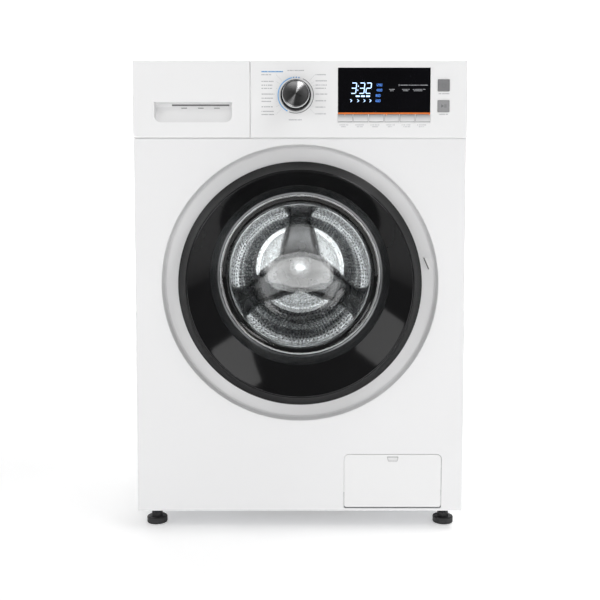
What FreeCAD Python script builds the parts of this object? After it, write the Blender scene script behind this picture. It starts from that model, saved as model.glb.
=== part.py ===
"""Front load washing machine: a free-standing 60 cm appliance built as separate pieces.

Millimetres, +Z up, the door faces -Y, and the origin is on the floor under the middle of the machine.
"""
import FreeCAD, Part
import math
import os
from FreeCAD import Vector

# ---------------------------------------------------------------- overall sizes
OVERALL_WIDTH = 595.0
OVERALL_DEPTH = 565.0        # from the face of the dial to the tip of the water inlet
OVERALL_HEIGHT = 850.0
FOOT_HEIGHT = 36.0           # floor to the underside of the cabinet
FASCIA_HEIGHT = 136.5
FASCIA_PROUD = 4.0           # how far the control panel stands before the front panel
DIAL_PROUD = 28.0
INLET_PROUD = 16.0           # water inlet behind the rear panel
SIDE_INSET = 1.5
SHEET = 1.0
SEAM = 0.8                   # visible gap between neighbouring covers
EPS = 0.3                    # gap between pieces that lie against each other

# ---------------------------------------------------------------- drum and tub
AXIS_RISE = 15.0             # axis of the drum and window above the centre of the door
DRUM_RADIUS = 245.0
DRUM_START = 90.0            # depths are measured behind the face of the front panel
DRUM_LENGTH = 302.0
DRUM_LIP_INSET = 5.0         # mouth of the drum inside the mouth of the front panel
DRUM_SHEET = 1.2
TUB_RADIUS = 262.0
TUB_WALL = 3.0
TUB_START = 70.0
TUB_END = 420.0
TUB_MOUTH_MARGIN = 1.0
TUB_FLANGE = 6.0             # rim where the two halves of the tub are clamped
SHAFT_RADIUS = 15.0
BEARING_RADIUS = 26.0
BEARING_WIDTH = 12.0
RUNNING_FIT = 0.04
PULLEY_START = 455.0
PULLEY_WIDTH = 14.0
DRUM_PULLEY_RADIUS = 140.0
MOTOR_PULLEY_RADIUS = 10.0
BELT_THICKNESS = 3.0
MOTOR_DROP = 338.0           # motor shaft below the axis of the drum
MOTOR_RADIUS = 60.0
LIFTER_COUNT = 3
LIFTER_HEIGHT = 46.0
LIFTER_WIDTH = 64.0

# ---------------------------------------------------------------- suspension
BRACE_DEPTH = 335.0
SPRING_X = 215.0
SPRING_RADIUS = 12.0
SPRING_WIRE = 3.0
DAMPER_X = 200.0
DAMPER_DEPTHS = ((-1, 150.0), (-1, 380.0), (1, 300.0))
HOSE_RADIUS = 20.0
MOTOR_SHAFT_RADIUS = 5.0

# ---------------------------------------------------------------- door
DOOR_CENTRE_Z = 453.0
DOOR_RADIUS = 218.5
DOOR_BEVEL = 18.5
DOOR_PROUD = 29.0
DOOR_BACK = 6.0
DOOR_WALL = 3.0
WINDOW_RADIUS = 162.5
WINDOW_LIP = 1.5
WINDOW_RING_WIDTH = 4.0
DISH_MARGIN = 32.5
DISH_DEPTH = 18.0
MOUTH_MARGIN = 7.5           # opening of the front panel outside the window
HINGE_INSET = 18.5           # hinge pin inside the rim of the door
HINGE_DEPTH = -8.0
HINGE_PIN_RADIUS = 4.0
HINGE_LUG_START = 30.0
HINGE_LUG_END = 38.0
HINGE_CLEARANCE = 3.0
HOOK_INSET = 15.5
HOOK_LENGTH = 38.0

# ---------------------------------------------------------------- drawer
DRAWER_WIDTH = 209.5
DRAWER_FRONT_DEPTH = 24.0
TRAY_MARGIN = 16.4           # from the left side of the machine
TRAY_WIDTH = 176.0
TRAY_HEIGHT = 72.0
TRAY_LENGTH = 230.0
TRAY_RISE = 14.5             # underside of the tray above the seam of the panel
TRAY_WALL = 2.2
TRAY_GAP = 2.0
DISPENSER_WALL = 2.5
SCOOP_MARGIN = 38.5
SCOOP_WIDTH = 138.0
SCOOP_RISE = 27.5
SCOOP_HEIGHT = 35.5
SCOOP_CORNER = 12.0
SCOOP_DEPTH = 19.0
FRAME_PLATE = 3.0

# ---------------------------------------------------------------- controls
DIAL_PLACE = 80.5            # from the edge of the drawer
DIAL_DROP = 63.0             # from the top of the machine
DIAL_RADIUS = 27.0
DIAL_FACE_RADIUS = 21.8
DIAL_SHAFT_RADIUS = 3.0
DIAL_FACE_HEIGHT = 2.0
DIAL_GAP = 1.0
DISPLAY_MARGIN = 230.1       # from the right side of the machine to the left of the display
DISPLAY_WIDTH = 163.6
DISPLAY_DROP = 13.6
DISPLAY_HEIGHT = 78.4
ACCENT_HEIGHT = 2.8
FASCIA_WALL = 3.0
FASCIA_DEPTH = 44.0
KEY_COUNT = 6
KEY_HEIGHT = 13.4
KEY_GAP = 2.0
KEY_PROUD = 1.4
KEY_SEAM = 0.3
SQUARE_KEY_MARGIN = 42.9
SQUARE_KEY_SIZE = 20.8
POWER_KEY_DROP = 44.3
START_KEY_DROP = 80.7
KEY_CLEARANCE = 0.35
KEY_DEPTH = 9.0

# ---------------------------------------------------------------- lower front, feet and rear
FLAP_MARGIN = 39.5           # from the right side of the machine
FLAP_WIDTH = 177.0
FLAP_RISE = 7.0              # above the underside of the cabinet
FLAP_HEIGHT = 97.5
FLAP_CORNER = 8.4
FLAP_LOW_CORNER = 3.6
FLAP_THICKNESS = 2.5
FLAP_HINGE_RISE = 5.0
FLAP_HINGE_DEPTH = 4.0
FLAP_FLOOR_GAP = 2.5
PUMP_RADIUS = 38.0
FILTER_RADIUS = 31.0
FOOT_SIDE_INSET = 27.5
FOOT_INSET = 45.0
FOOT_RADIUS = 19.0
FOOT_PAD = 12.0
FOOT_STEM_RADIUS = 5.0
FOOT_CLEARANCE = 0.08
INLET_MARGIN = 92.5
INLET_DROP = 68.0
INLET_RADIUS = 13.2
INLET_BORE = 8.0
INLET_RELIEF = 1.0             # undercut between the rear panel and the thread
GLAND_MARGIN = 62.5
CORD_DROP = 65.0
CORD_BORE = 4.0
DRAIN_DROP = 115.0
DRAIN_BORE = 11.0
ACCESS_RADIUS = 150.0
SCREW_RADIUS = 4.0
WORKTOP_THICKNESS = 22.0

# ---------------------------------------------------------------- derived places
HALF_WIDTH = OVERALL_WIDTH / 2
FRONT_Y = -OVERALL_DEPTH / 2 + FASCIA_PROUD + DIAL_PROUD
REAR_Y = OVERALL_DEPTH / 2 - INLET_PROUD
REAR_DEPTH = REAR_Y - FRONT_Y
SIDE_X = HALF_WIDTH - SIDE_INSET
FASCIA_BOTTOM = OVERALL_HEIGHT - FASCIA_HEIGHT
FASCIA_BACK = FASCIA_DEPTH - FASCIA_PROUD
WORKTOP_BOTTOM = OVERALL_HEIGHT - WORKTOP_THICKNESS
FLANGE = 14.0
AXIS_Z = DOOR_CENTRE_Z + AXIS_RISE
SPINDLE = (0.0, AXIS_Z)
DOOR_CENTRE = (0.0, DOOR_CENTRE_Z)
MOTOR_Z = AXIS_Z - MOTOR_DROP
DOOR_CREST_RADIUS = DOOR_RADIUS - DOOR_BEVEL
DISH_RADIUS = DOOR_RADIUS + DISH_MARGIN
MOUTH_RADIUS = WINDOW_RADIUS + MOUTH_MARGIN
DRUM_MOUTH = MOUTH_RADIUS - DRUM_LIP_INSET
TUB_MOUTH = MOUTH_RADIUS + TUB_MOUTH_MARGIN
HINGE_X = HINGE_INSET - DOOR_RADIUS
HOOK_X = DOOR_RADIUS - HOOK_INSET
DRAWER_EDGE_X = DRAWER_WIDTH - HALF_WIDTH
TRAY_LEFT = TRAY_MARGIN - HALF_WIDTH
TRAY_BOTTOM = FASCIA_BOTTOM + TRAY_RISE
SCOOP_LEFT = SCOOP_MARGIN - HALF_WIDTH
SCOOP_RIGHT = SCOOP_LEFT + SCOOP_WIDTH
SCOOP_BOTTOM = FASCIA_BOTTOM + SCOOP_RISE
SCOOP_TOP = SCOOP_BOTTOM + SCOOP_HEIGHT
DIAL_X = DRAWER_EDGE_X + DIAL_PLACE
DIAL_Z = OVERALL_HEIGHT - DIAL_DROP
DISPLAY_LEFT = HALF_WIDTH - DISPLAY_MARGIN
DISPLAY_TOP = OVERALL_HEIGHT - DISPLAY_DROP
DISPLAY_BOTTOM = DISPLAY_TOP - DISPLAY_HEIGHT
KEY_TOP = DISPLAY_BOTTOM - ACCENT_HEIGHT - KEY_SEAM
SQUARE_KEY_X = HALF_WIDTH - SQUARE_KEY_MARGIN
POWER_KEY_Z = OVERALL_HEIGHT - POWER_KEY_DROP
START_KEY_Z = OVERALL_HEIGHT - START_KEY_DROP
FLAP_RIGHT = HALF_WIDTH - FLAP_MARGIN
FLAP_LEFT = FLAP_RIGHT - FLAP_WIDTH
FLAP_BOTTOM = FOOT_HEIGHT + FLAP_RISE
FLAP_TOP = FLAP_BOTTOM + FLAP_HEIGHT
FLAP_HINGE_Z = FLAP_BOTTOM + FLAP_HINGE_RISE
PUMP_X = (FLAP_LEFT + FLAP_RIGHT) / 2
PUMP_Z = (FLAP_BOTTOM + FLAP_TOP) / 2
FOOT_X = HALF_WIDTH - FOOT_SIDE_INSET
INLET_X = HALF_WIDTH - INLET_MARGIN
INLET_Z = OVERALL_HEIGHT - INLET_DROP
CORD_X = DRAIN_X = GLAND_MARGIN - HALF_WIDTH
CORD_Z = OVERALL_HEIGHT - CORD_DROP
DRAIN_Z = OVERALL_HEIGHT - DRAIN_DROP


def at(depth):
    """The Y of a depth behind the face of the front panel."""
    return FRONT_Y + depth


def box(x0, x1, d0, d1, z0, z1):
    """A box between two values of X, of depth and of Z."""
    return Part.makeBox(x1 - x0, d1 - d0, z1 - z0, Vector(x0, at(d0), z0))


def rod_y(radius, d0, d1, centre=SPINDLE):
    """A cylinder along Y between two depths."""
    return Part.makeCylinder(radius, d1 - d0, Vector(centre[0], at(d0), centre[1]), Vector(0, 1, 0))


def tube_y(outer, inner, d0, d1, centre=SPINDLE):
    return rod_y(outer, d0, d1, centre).cut(rod_y(inner, d0 - 1, d1 + 1, centre))


def rod_z(radius, x, depth, z0, z1):
    return Part.makeCylinder(radius, z1 - z0, Vector(x, at(depth), z0))


def rod_x(radius, x0, x1, depth, z):
    return Part.makeCylinder(radius, x1 - x0, Vector(x0, at(depth), z), Vector(1, 0, 0))


def turned(profile, centre=SPINDLE):
    """A solid of revolution about a Y axis from (radius, depth) points."""
    points = [Vector(centre[0] + r, at(d), centre[1]) for r, d in profile]
    face = Part.Face(Part.makePolygon(points + points[:1]))
    return face.revolve(Vector(centre[0], 0, centre[1]), Vector(0, 1, 0), 360)


def eccentric_cone(r0, d0, centre0, r1, d1, centre1):
    """The cone between two circles that face -Y and needn't share a centre."""
    rings = []
    for r, d, centre in ((r0, d0, centre0), (r1, d1, centre1)):
        circle = Part.makeCircle(r, Vector(centre[0], at(d), centre[1]), Vector(0, 1, 0))
        rings.append(Part.Wire([circle]))
    return Part.makeLoft(rings, True)


def prism_x(profile, x0, x1):
    """A prism along X from (depth, z) points."""
    points = [Vector(x0, at(d), z) for d, z in profile]
    return Part.Face(Part.makePolygon(points + points[:1])).extrude(Vector(x1 - x0, 0, 0))


def along(shape, axis):
    """The straight edges of a shape that run along one axis."""
    return [e for e in shape.Edges if e.Curve.TypeId == "Part::GeomLine"
            and abs(abs(e.tangentAt(e.FirstParameter).dot(axis)) - 1) < 1e-6]


def rounded_plate(x0, x1, d0, d1, z0, z1, radius, low_radius=None):
    """A plate that faces -Y, with its four corners rounded, the lower two by their own radius."""
    plate = box(x0, x1, d0, d1, z0, z1)
    middle = (z0 + z1) / 2
    corners = along(plate, Vector(0, 1, 0))
    plate = plate.makeFillet(radius, [e for e in corners if e.CenterOfMass.z > middle])
    corners = [e for e in along(plate, Vector(0, 1, 0)) if e.CenterOfMass.z < middle - radius / 2
               and min(abs(e.CenterOfMass.x - x0), abs(e.CenterOfMass.x - x1)) < 1e-6
               and abs(e.CenterOfMass.z - z0) < 1e-6]
    return plate.makeFillet(low_radius or radius, corners)


def fuse(first, *others):
    for other in others:
        first = first.fuse(other)
    return first.removeSplitter()


def cut(first, *others):
    for other in others:
        first = first.cut(other)
    return first


def save(name, *solids):
    """Writes one node: one solid, or a group of separate solids."""
    pieces = [s for shape in solids for s in shape.Solids]
    shape = pieces[0] if len(pieces) == 1 else Part.makeCompound(pieces)
    assert shape.isValid() and all(p.Volume > 0 for p in pieces), name
    shape.exportStep(os.path.join("parts", name + ".step"))


# ---------------------------------------------------------------- cabinet
def side_panel(side):
    """One painted side: a flat sheet, a pressed stiffening field and a folded rear flange."""
    inner = side * (SIDE_X - SHEET)
    outer = side * SIDE_X
    x0, x1 = min(inner, outer), max(inner, outer)
    sheet = box(x0, x1, FLANGE + SEAM, REAR_DEPTH, FOOT_HEIGHT, WORKTOP_BOTTOM - EPS)
    notch = box(x0 - 1, x1 + 1, 0, FASCIA_BACK + SEAM, FASCIA_BOTTOM - SEAM, OVERALL_HEIGHT)
    fold = side * (SIDE_X - FLANGE)
    f0, f1 = min(fold, outer), max(fold, outer)
    flange = box(f0, f1, REAR_DEPTH - 2 * SHEET, REAR_DEPTH - SHEET, FOOT_HEIGHT, WORKTOP_BOTTOM - EPS)
    return fuse(sheet.cut(notch), flange)


def rear_panel():
    """The rear sheet with its access opening, vents and the holes for the inlet and the glands."""
    x = SIDE_X - SHEET - EPS
    sheet = box(-x, x, REAR_DEPTH - SHEET, REAR_DEPTH, FOOT_HEIGHT + 20, WORKTOP_BOTTOM - EPS)
    sheet = sheet.cut(rod_y(ACCESS_RADIUS, REAR_DEPTH - 5, REAR_DEPTH + 5))
    sheet = sheet.cut(rod_y(INLET_RADIUS + SEAM, REAR_DEPTH - 5, REAR_DEPTH + 5, (INLET_X, INLET_Z)))
    sheet = sheet.cut(rod_y(CORD_BORE + 6, REAR_DEPTH - 5, REAR_DEPTH + 5, (CORD_X, CORD_Z)))
    sheet = sheet.cut(rod_y(DRAIN_BORE + 6, REAR_DEPTH - 5, REAR_DEPTH + 5, (DRAIN_X, DRAIN_Z)))
    for row in range(6):
        z = FOOT_HEIGHT + 50 + 14 * row
        sheet = sheet.cut(rounded_plate(-60, 60, REAR_DEPTH - 5, REAR_DEPTH + 5, z, z + 5, 2.4))
    return sheet


def rear_access_cover():
    rim = ACCESS_RADIUS + 15
    return turned([(0, REAR_DEPTH + 6), (rim - 28, REAR_DEPTH + 6), (rim - 20, REAR_DEPTH),
                   (rim, REAR_DEPTH), (rim, REAR_DEPTH + SHEET), (rim - 19.5, REAR_DEPTH + SHEET),
                   (rim - 27.5, REAR_DEPTH + 7), (0, REAR_DEPTH + 7)])


def base_frame():
    """The floor of the cabinet: a tray with an open middle under the motor."""
    x = SIDE_X - SHEET - EPS
    tray = box(-x, x, FLANGE + 2, REAR_DEPTH - 4, FOOT_HEIGHT, FOOT_HEIGHT + 20)
    hollow = box(-x + 2, x - 2, FLANGE + 4, REAR_DEPTH - 6, FOOT_HEIGHT + 2, FOOT_HEIGHT + 30)
    middle = box(-120, 120, 100, REAR_DEPTH - 97, FOOT_HEIGHT - 1, FOOT_HEIGHT + 5)
    tray = cut(tray, hollow, middle)
    for x, depth in foot_places():
        boss = rod_z(FOOT_STEM_RADIUS + 6, x, depth, FOOT_HEIGHT, FOOT_HEIGHT + 14)
        bore = rod_z(FOOT_STEM_RADIUS + FOOT_CLEARANCE, x, depth, FOOT_HEIGHT - 1, FOOT_HEIGHT + 15)
        tray = tray.fuse(boss).cut(bore)
    return tray.removeSplitter()


def top_braces():
    x = SIDE_X - SHEET - EPS
    bars = []
    for depth in (BRACE_DEPTH, REAR_DEPTH - 30):
        bar = box(-x, x, depth - 14, depth + 14, WORKTOP_BOTTOM - 24, WORKTOP_BOTTOM - EPS)
        bars.append(bar.cut(box(-x - 1, x + 1, depth - 12, depth + 12, WORKTOP_BOTTOM - 22, WORKTOP_BOTTOM)))
    return bars


def worktop():
    top = box(-HALF_WIDTH, HALF_WIDTH, FASCIA_BACK + SEAM, REAR_DEPTH + 4, WORKTOP_BOTTOM, OVERALL_HEIGHT)
    top = top.makeFillet(3, [e for e in along(top, Vector(0, 1, 0)) if e.CenterOfMass.z > WORKTOP_BOTTOM + 1])
    return top


def front_panel():
    """The pressed front: flanged sheet, round dish with the mouth, and the opening for the flap."""
    top = FASCIA_BOTTOM - SEAM
    sheet = box(-HALF_WIDTH, HALF_WIDTH, 0, FLANGE, FOOT_HEIGHT, top)
    hollow = box(-HALF_WIDTH + SHEET, HALF_WIDTH - SHEET, SHEET, FLANGE + 1, FOOT_HEIGHT + SHEET, top - SHEET)
    sheet = sheet.makeFillet(3, [e for e in along(sheet, Vector(0, 0, 1)) if e.CenterOfMass.y < at(1)])
    sheet = cut(sheet, hollow, rod_y(DISH_RADIUS - 0.5, -1, FLANGE - 1, DOOR_CENTRE))
    dish = turned([(DISH_RADIUS, 0), (DISH_RADIUS - 1.6, 0.5), (DISH_RADIUS - 2.8, 8), (DISH_RADIUS - 4, 16),
                   (DISH_RADIUS - 7, DISH_DEPTH), (100, DISH_DEPTH), (100, DISH_DEPTH + SHEET),
                   (DISH_RADIUS - 6.4, DISH_DEPTH + SHEET), (DISH_RADIUS - 3, 17),
                   (DISH_RADIUS - 1.8, 8.2), (DISH_RADIUS - 0.8, 1.3), (DISH_RADIUS, SHEET)], DOOR_CENTRE)
    panel = sheet.fuse(dish)
    mouth = rod_y(MOUTH_RADIUS, DISH_DEPTH - 2, DISH_DEPTH + 3)
    slot = box(HOOK_X - 11, HOOK_X + 11, DISH_DEPTH - 2, DISH_DEPTH + 3,
               DOOR_CENTRE_Z - 12, DOOR_CENTRE_Z + 12)
    opening = rounded_plate(FLAP_LEFT - SEAM, FLAP_RIGHT + SEAM, -1, FLANGE - 1,
                            FLAP_BOTTOM - FLAP_FLOOR_GAP, FLAP_TOP + SEAM, FLAP_CORNER + SEAM, FLAP_LOW_CORNER)
    return cut(panel, mouth, slot, opening).removeSplitter()


# ---------------------------------------------------------------- control panel
def key_left(index):
    pitch = (DISPLAY_WIDTH + KEY_GAP) / KEY_COUNT
    return DISPLAY_LEFT + pitch * index


def key_width():
    return (DISPLAY_WIDTH + KEY_GAP) / KEY_COUNT - KEY_GAP


def control_fascia():
    """The moulded control panel, with the frame behind the drawer front."""
    right = box(DRAWER_EDGE_X, HALF_WIDTH, -FASCIA_PROUD, FASCIA_BACK, FASCIA_BOTTOM, OVERALL_HEIGHT)
    front_edges = [e for e in right.Edges if e.CenterOfMass.y < at(-FASCIA_PROUD) + 0.01]
    right = right.makeFillet(2.0, front_edges)
    hollow = box(DRAWER_EDGE_X + FASCIA_WALL, HALF_WIDTH - FASCIA_WALL, FASCIA_WALL - FASCIA_PROUD,
                 FASCIA_BACK + 1, FASCIA_BOTTOM + FASCIA_WALL, OVERALL_HEIGHT - FASCIA_WALL)
    right = right.cut(hollow)
    plate_front = DRAWER_FRONT_DEPTH - FASCIA_PROUD + EPS
    left = box(-HALF_WIDTH, DRAWER_EDGE_X + 1, plate_front, FASCIA_BACK, FASCIA_BOTTOM, OVERALL_HEIGHT)
    inner = box(-HALF_WIDTH + FASCIA_WALL, DRAWER_EDGE_X, plate_front + FRAME_PLATE, FASCIA_BACK + 1,
                FASCIA_BOTTOM + FASCIA_WALL, OVERALL_HEIGHT - FASCIA_WALL)
    mouth = box(TRAY_LEFT - TRAY_GAP, TRAY_LEFT + TRAY_WIDTH + TRAY_GAP, 0, FASCIA_BACK,
                TRAY_BOTTOM - TRAY_GAP, TRAY_BOTTOM + TRAY_HEIGHT + TRAY_GAP)
    shell = fuse(right, cut(left, inner, mouth))
    front = (-FASCIA_PROUD - 1, FASCIA_WALL)
    gap = KEY_CLEARANCE
    shell = shell.cut(box(DISPLAY_LEFT - EPS, DISPLAY_LEFT + DISPLAY_WIDTH + EPS, *front,
                          DISPLAY_BOTTOM - ACCENT_HEIGHT - EPS, DISPLAY_TOP + EPS))
    shell = shell.cut(rod_y(DIAL_SHAFT_RADIUS + RUNNING_FIT, *front, (DIAL_X, DIAL_Z)))
    for index in range(KEY_COUNT):
        x = key_left(index)
        low = KEY_TOP - KEY_HEIGHT - gap
        shell = shell.cut(box(x - gap, x + key_width() + gap, *front, low, KEY_TOP + gap))
    half = SQUARE_KEY_SIZE / 2 + gap
    left, right = SQUARE_KEY_X - half, SQUARE_KEY_X + half
    for z in (POWER_KEY_Z, START_KEY_Z):
        shell = shell.cut(rounded_plate(left, right, *front, z - half, z + half, 1.6))
    return shell


def display_window():
    return box(DISPLAY_LEFT, DISPLAY_LEFT + DISPLAY_WIDTH, -FASCIA_PROUD - 0.2, FASCIA_WALL - FASCIA_PROUD,
               DISPLAY_BOTTOM, DISPLAY_TOP)


def accent_strip():
    return box(DISPLAY_LEFT, DISPLAY_LEFT + DISPLAY_WIDTH, -FASCIA_PROUD - 0.4, FASCIA_WALL - FASCIA_PROUD,
               DISPLAY_BOTTOM - ACCENT_HEIGHT, DISPLAY_BOTTOM)


def control_module():
    """The electronics box behind the fascia: display carrier and the encoder of the dial."""
    case = box(DIAL_X - 40, HALF_WIDTH - 10, 10, FASCIA_BACK - 4, FASCIA_BOTTOM + 12, OVERALL_HEIGHT - 12)
    carrier = box(DISPLAY_LEFT + 3, DISPLAY_LEFT + DISPLAY_WIDTH - 3, FASCIA_WALL - FASCIA_PROUD, 12,
                  DISPLAY_BOTTOM + 2, DISPLAY_TOP - 2)
    socket = rod_y(DIAL_SHAFT_RADIUS + RUNNING_FIT, 5, 18, (DIAL_X, DIAL_Z))
    return fuse(case, carrier).cut(socket)


def function_key(index):
    """One silver key of the row, with a soft front edge and a guide block behind."""
    x = key_left(index)
    face = -FASCIA_PROUD - KEY_PROUD
    key = box(x, x + key_width(), face, face + KEY_DEPTH, KEY_TOP - KEY_HEIGHT, KEY_TOP)
    return key.makeFillet(0.8, [e for e in key.Edges if e.CenterOfMass.y < at(face) + 0.01])


def square_key(z):
    half = SQUARE_KEY_SIZE / 2
    face = -FASCIA_PROUD - KEY_PROUD
    left, right = SQUARE_KEY_X - half, SQUARE_KEY_X + half
    key = rounded_plate(left, right, face, face + KEY_DEPTH, z - half, z + half, 1.2)
    return key.makeFillet(0.6, [e for e in key.Edges if e.CenterOfMass.y < at(face) + 0.01])


def dial_knob():
    base = -FASCIA_PROUD - DIAL_GAP
    top = -FASCIA_PROUD - DIAL_PROUD + DIAL_FACE_HEIGHT
    body = turned([(0, base), (DIAL_RADIUS, base), (DIAL_RADIUS, base - 3), (DIAL_RADIUS - 2, top + 2),
                   (DIAL_RADIUS - 3.4, top), (0, top)], (DIAL_X, DIAL_Z))
    return fuse(body, rod_y(DIAL_SHAFT_RADIUS, base - 1, 16, (DIAL_X, DIAL_Z)))


def dial_face():
    top = -FASCIA_PROUD - DIAL_PROUD
    back = top + DIAL_FACE_HEIGHT
    return turned([(0, back), (DIAL_FACE_RADIUS + 1.2, back), (DIAL_FACE_RADIUS, top), (0, top + 0.6)],
                  (DIAL_X, DIAL_Z))


# ---------------------------------------------------------------- detergent drawer
def drawer_front():
    """The full-height drawer front with its scooped pull."""
    face = -FASCIA_PROUD
    front = box(-HALF_WIDTH, DRAWER_EDGE_X - SEAM, face, face + DRAWER_FRONT_DEPTH, FASCIA_BOTTOM + EPS,
                OVERALL_HEIGHT - EPS)
    front = front.makeFillet(2.0, [e for e in front.Edges if e.CenterOfMass.y < at(face) + 0.01])
    scoop = prism_x([(face - 1, SCOOP_BOTTOM), (face + 4, SCOOP_BOTTOM), (face + SCOOP_DEPTH, SCOOP_TOP - 6),
                     (face + SCOOP_DEPTH, SCOOP_TOP), (face - 1, SCOOP_TOP)], SCOOP_LEFT, SCOOP_RIGHT)
    outline = rounded_plate(SCOOP_LEFT, SCOOP_RIGHT, face - 1, face + SCOOP_DEPTH, SCOOP_BOTTOM,
                            SCOOP_TOP + 2 * SCOOP_CORNER, SCOOP_CORNER)
    return front.cut(scoop.common(outline))


def drawer_tray():
    """The open tray behind the drawer front, with two walls between its three compartments."""
    back = DRAWER_FRONT_DEPTH - FASCIA_PROUD
    left = TRAY_LEFT
    right = left + TRAY_WIDTH
    tray = box(left, right, back, back + TRAY_LENGTH, TRAY_BOTTOM, TRAY_BOTTOM + TRAY_HEIGHT)
    bay = (TRAY_WIDTH - 4 * TRAY_WALL) / 3
    for index in range(3):
        x = left + TRAY_WALL + index * (bay + TRAY_WALL)
        tray = tray.cut(box(x, x + bay, back + TRAY_WALL, back + TRAY_LENGTH - TRAY_WALL,
                            TRAY_BOTTOM + TRAY_WALL, TRAY_BOTTOM + TRAY_HEIGHT + 1))
    return tray


def dispenser_housing():
    start = FASCIA_BACK + SEAM
    end = DRAWER_FRONT_DEPTH + TRAY_LENGTH + 30
    left = TRAY_LEFT - TRAY_GAP
    right = left + TRAY_WIDTH + 2 * TRAY_GAP
    wall = DISPENSER_WALL
    bottom = TRAY_BOTTOM - TRAY_GAP
    top = WORKTOP_BOTTOM - wall - TRAY_GAP
    outer = box(left - wall, right + wall, start, end, bottom - wall, top + wall)
    inner = box(left, right, start - 1, end - wall, bottom, top)
    x, depth = hose_place()
    spout = rod_z(HOSE_RADIUS - 3, x, depth, bottom - 14, bottom)
    bore = rod_z(HOSE_RADIUS - 6, x, depth, bottom - 15, bottom + 1)
    return fuse(outer.cut(inner), spout).cut(bore)


# ---------------------------------------------------------------- door
def door_cone(grow, back):
    """The sloping funnel of the door, larger by a wall thickness and run on to a depth."""
    slope = (DOOR_CREST_RADIUS - WINDOW_RADIUS) / (DOOR_PROUD + WINDOW_LIP)
    drift = (AXIS_Z - DOOR_CENTRE_Z) / (DOOR_PROUD + WINDOW_LIP)
    extra = back - WINDOW_LIP
    end = (0.0, AXIS_Z + drift * extra)
    return eccentric_cone(DOOR_CREST_RADIUS + grow, -DOOR_PROUD, DOOR_CENTRE,
                          WINDOW_RADIUS - slope * extra + grow, back, end)


def hinge_windows():
    """The two slots that let the hinge lugs pass through the rim and the back of the door."""
    slots = []
    low = HINGE_LUG_START - HINGE_CLEARANCE
    high = HINGE_LUG_END + HINGE_CLEARANCE
    for z0, z1 in ((low, high), (-high, -low)):
        slots.append(box(-DOOR_RADIUS - 5, HINGE_X + 30, HINGE_DEPTH - 1, DOOR_BACK + 1,
                         DOOR_CENTRE_Z + z0, DOOR_CENTRE_Z + z1))
    return slots


def door_outer_trim():
    """The black ring of the door: a bevelled rim outside and an off-centre funnel inside."""
    body = turned([(0, DOOR_BACK), (DOOR_RADIUS, DOOR_BACK), (DOOR_RADIUS, -9), (DOOR_RADIUS - 1.5, -11),
                   (DOOR_CREST_RADIUS + 2, 1 - DOOR_PROUD), (DOOR_CREST_RADIUS, -DOOR_PROUD), (0, -DOOR_PROUD)],
                  DOOR_CENTRE)
    wall = DOOR_WALL
    cavity = turned([(0, DOOR_BACK + 1), (DOOR_RADIUS - wall, DOOR_BACK + 1), (DOOR_RADIUS - wall, -8),
                     (DOOR_CREST_RADIUS - 1, wall + 1 - DOOR_PROUD), (0, wall + 1 - DOOR_PROUD)], DOOR_CENTRE)
    cavity = cavity.cut(door_cone(wall, DOOR_BACK + 2))
    seat = rod_y(WINDOW_RADIUS + WINDOW_RING_WIDTH + EPS, WINDOW_LIP, DOOR_BACK + 3)
    body = cut(body, door_cone(0, WINDOW_LIP + 0.01), seat, cavity)
    rim = box(-DOOR_RADIUS - 5, HINGE_X - 5, -9, DOOR_BACK + 1, DOOR_CENTRE_Z - HINGE_LUG_END - HINGE_CLEARANCE,
              DOOR_CENTRE_Z + HINGE_LUG_END + HINGE_CLEARANCE)
    slots = [slot.common(rim) for slot in hinge_windows()]
    largest = max(cut(body, *slots).Solids, key=lambda s: s.Volume)
    return largest


def door_chrome_ring():
    outer = WINDOW_RADIUS + WINDOW_RING_WIDTH
    return turned([(WINDOW_RADIUS, WINDOW_LIP + 0.1), (outer, WINDOW_LIP + 0.1), (outer, 10),
                   (outer - 14, 23.5), (WINDOW_RADIUS - 16, 23.5)])


def door_inner_frame():
    """The moulded back of the door with the skirt that clamps the glass."""
    outer = WINDOW_RADIUS + WINDOW_RING_WIDTH + EPS
    plate = rod_y(DOOR_RADIUS - DOOR_WALL - EPS, DOOR_BACK - 3, DOOR_BACK, DOOR_CENTRE)
    plate = plate.cut(rod_y(outer + DOOR_WALL - 0.6, DOOR_BACK - 4, DOOR_BACK + 1))
    skirt = turned([(outer + 0.6, 3.6), (outer + 4, 3.6), (outer + 4, 10), (outer - 12, 26), (outer - 12, 31),
                    (outer - 20, 31), (outer - 20, 28.4), (outer - 15.6, 28.4), (outer - 15.6, 24.2),
                    (outer - 13.4, 23.9), (outer + 0.6, 10.4)])
    hook_slot = box(HOOK_X - 7, HOOK_X + 7, 0, DOOR_BACK + 2, DOOR_CENTRE_Z - 9, DOOR_CENTRE_Z + 9)
    return cut(fuse(plate, skirt), hook_slot, *hinge_windows())


def door_glass():
    """The deep glass bowl that reaches into the mouth of the drum."""
    rim = WINDOW_RADIUS - 11.5
    return turned([(rim, 24), (rim, 28), (rim - 6, 28), (rim - 7, 32), (rim - 13, 45), (rim - 41, 125),
                   (rim - 55, 142), (60, 150), (0, 152), (0, 147.5), (60, 145.5), (rim - 57, 138),
                   (rim - 45, 123), (rim - 17, 43), (rim - 8, 24)])


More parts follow.
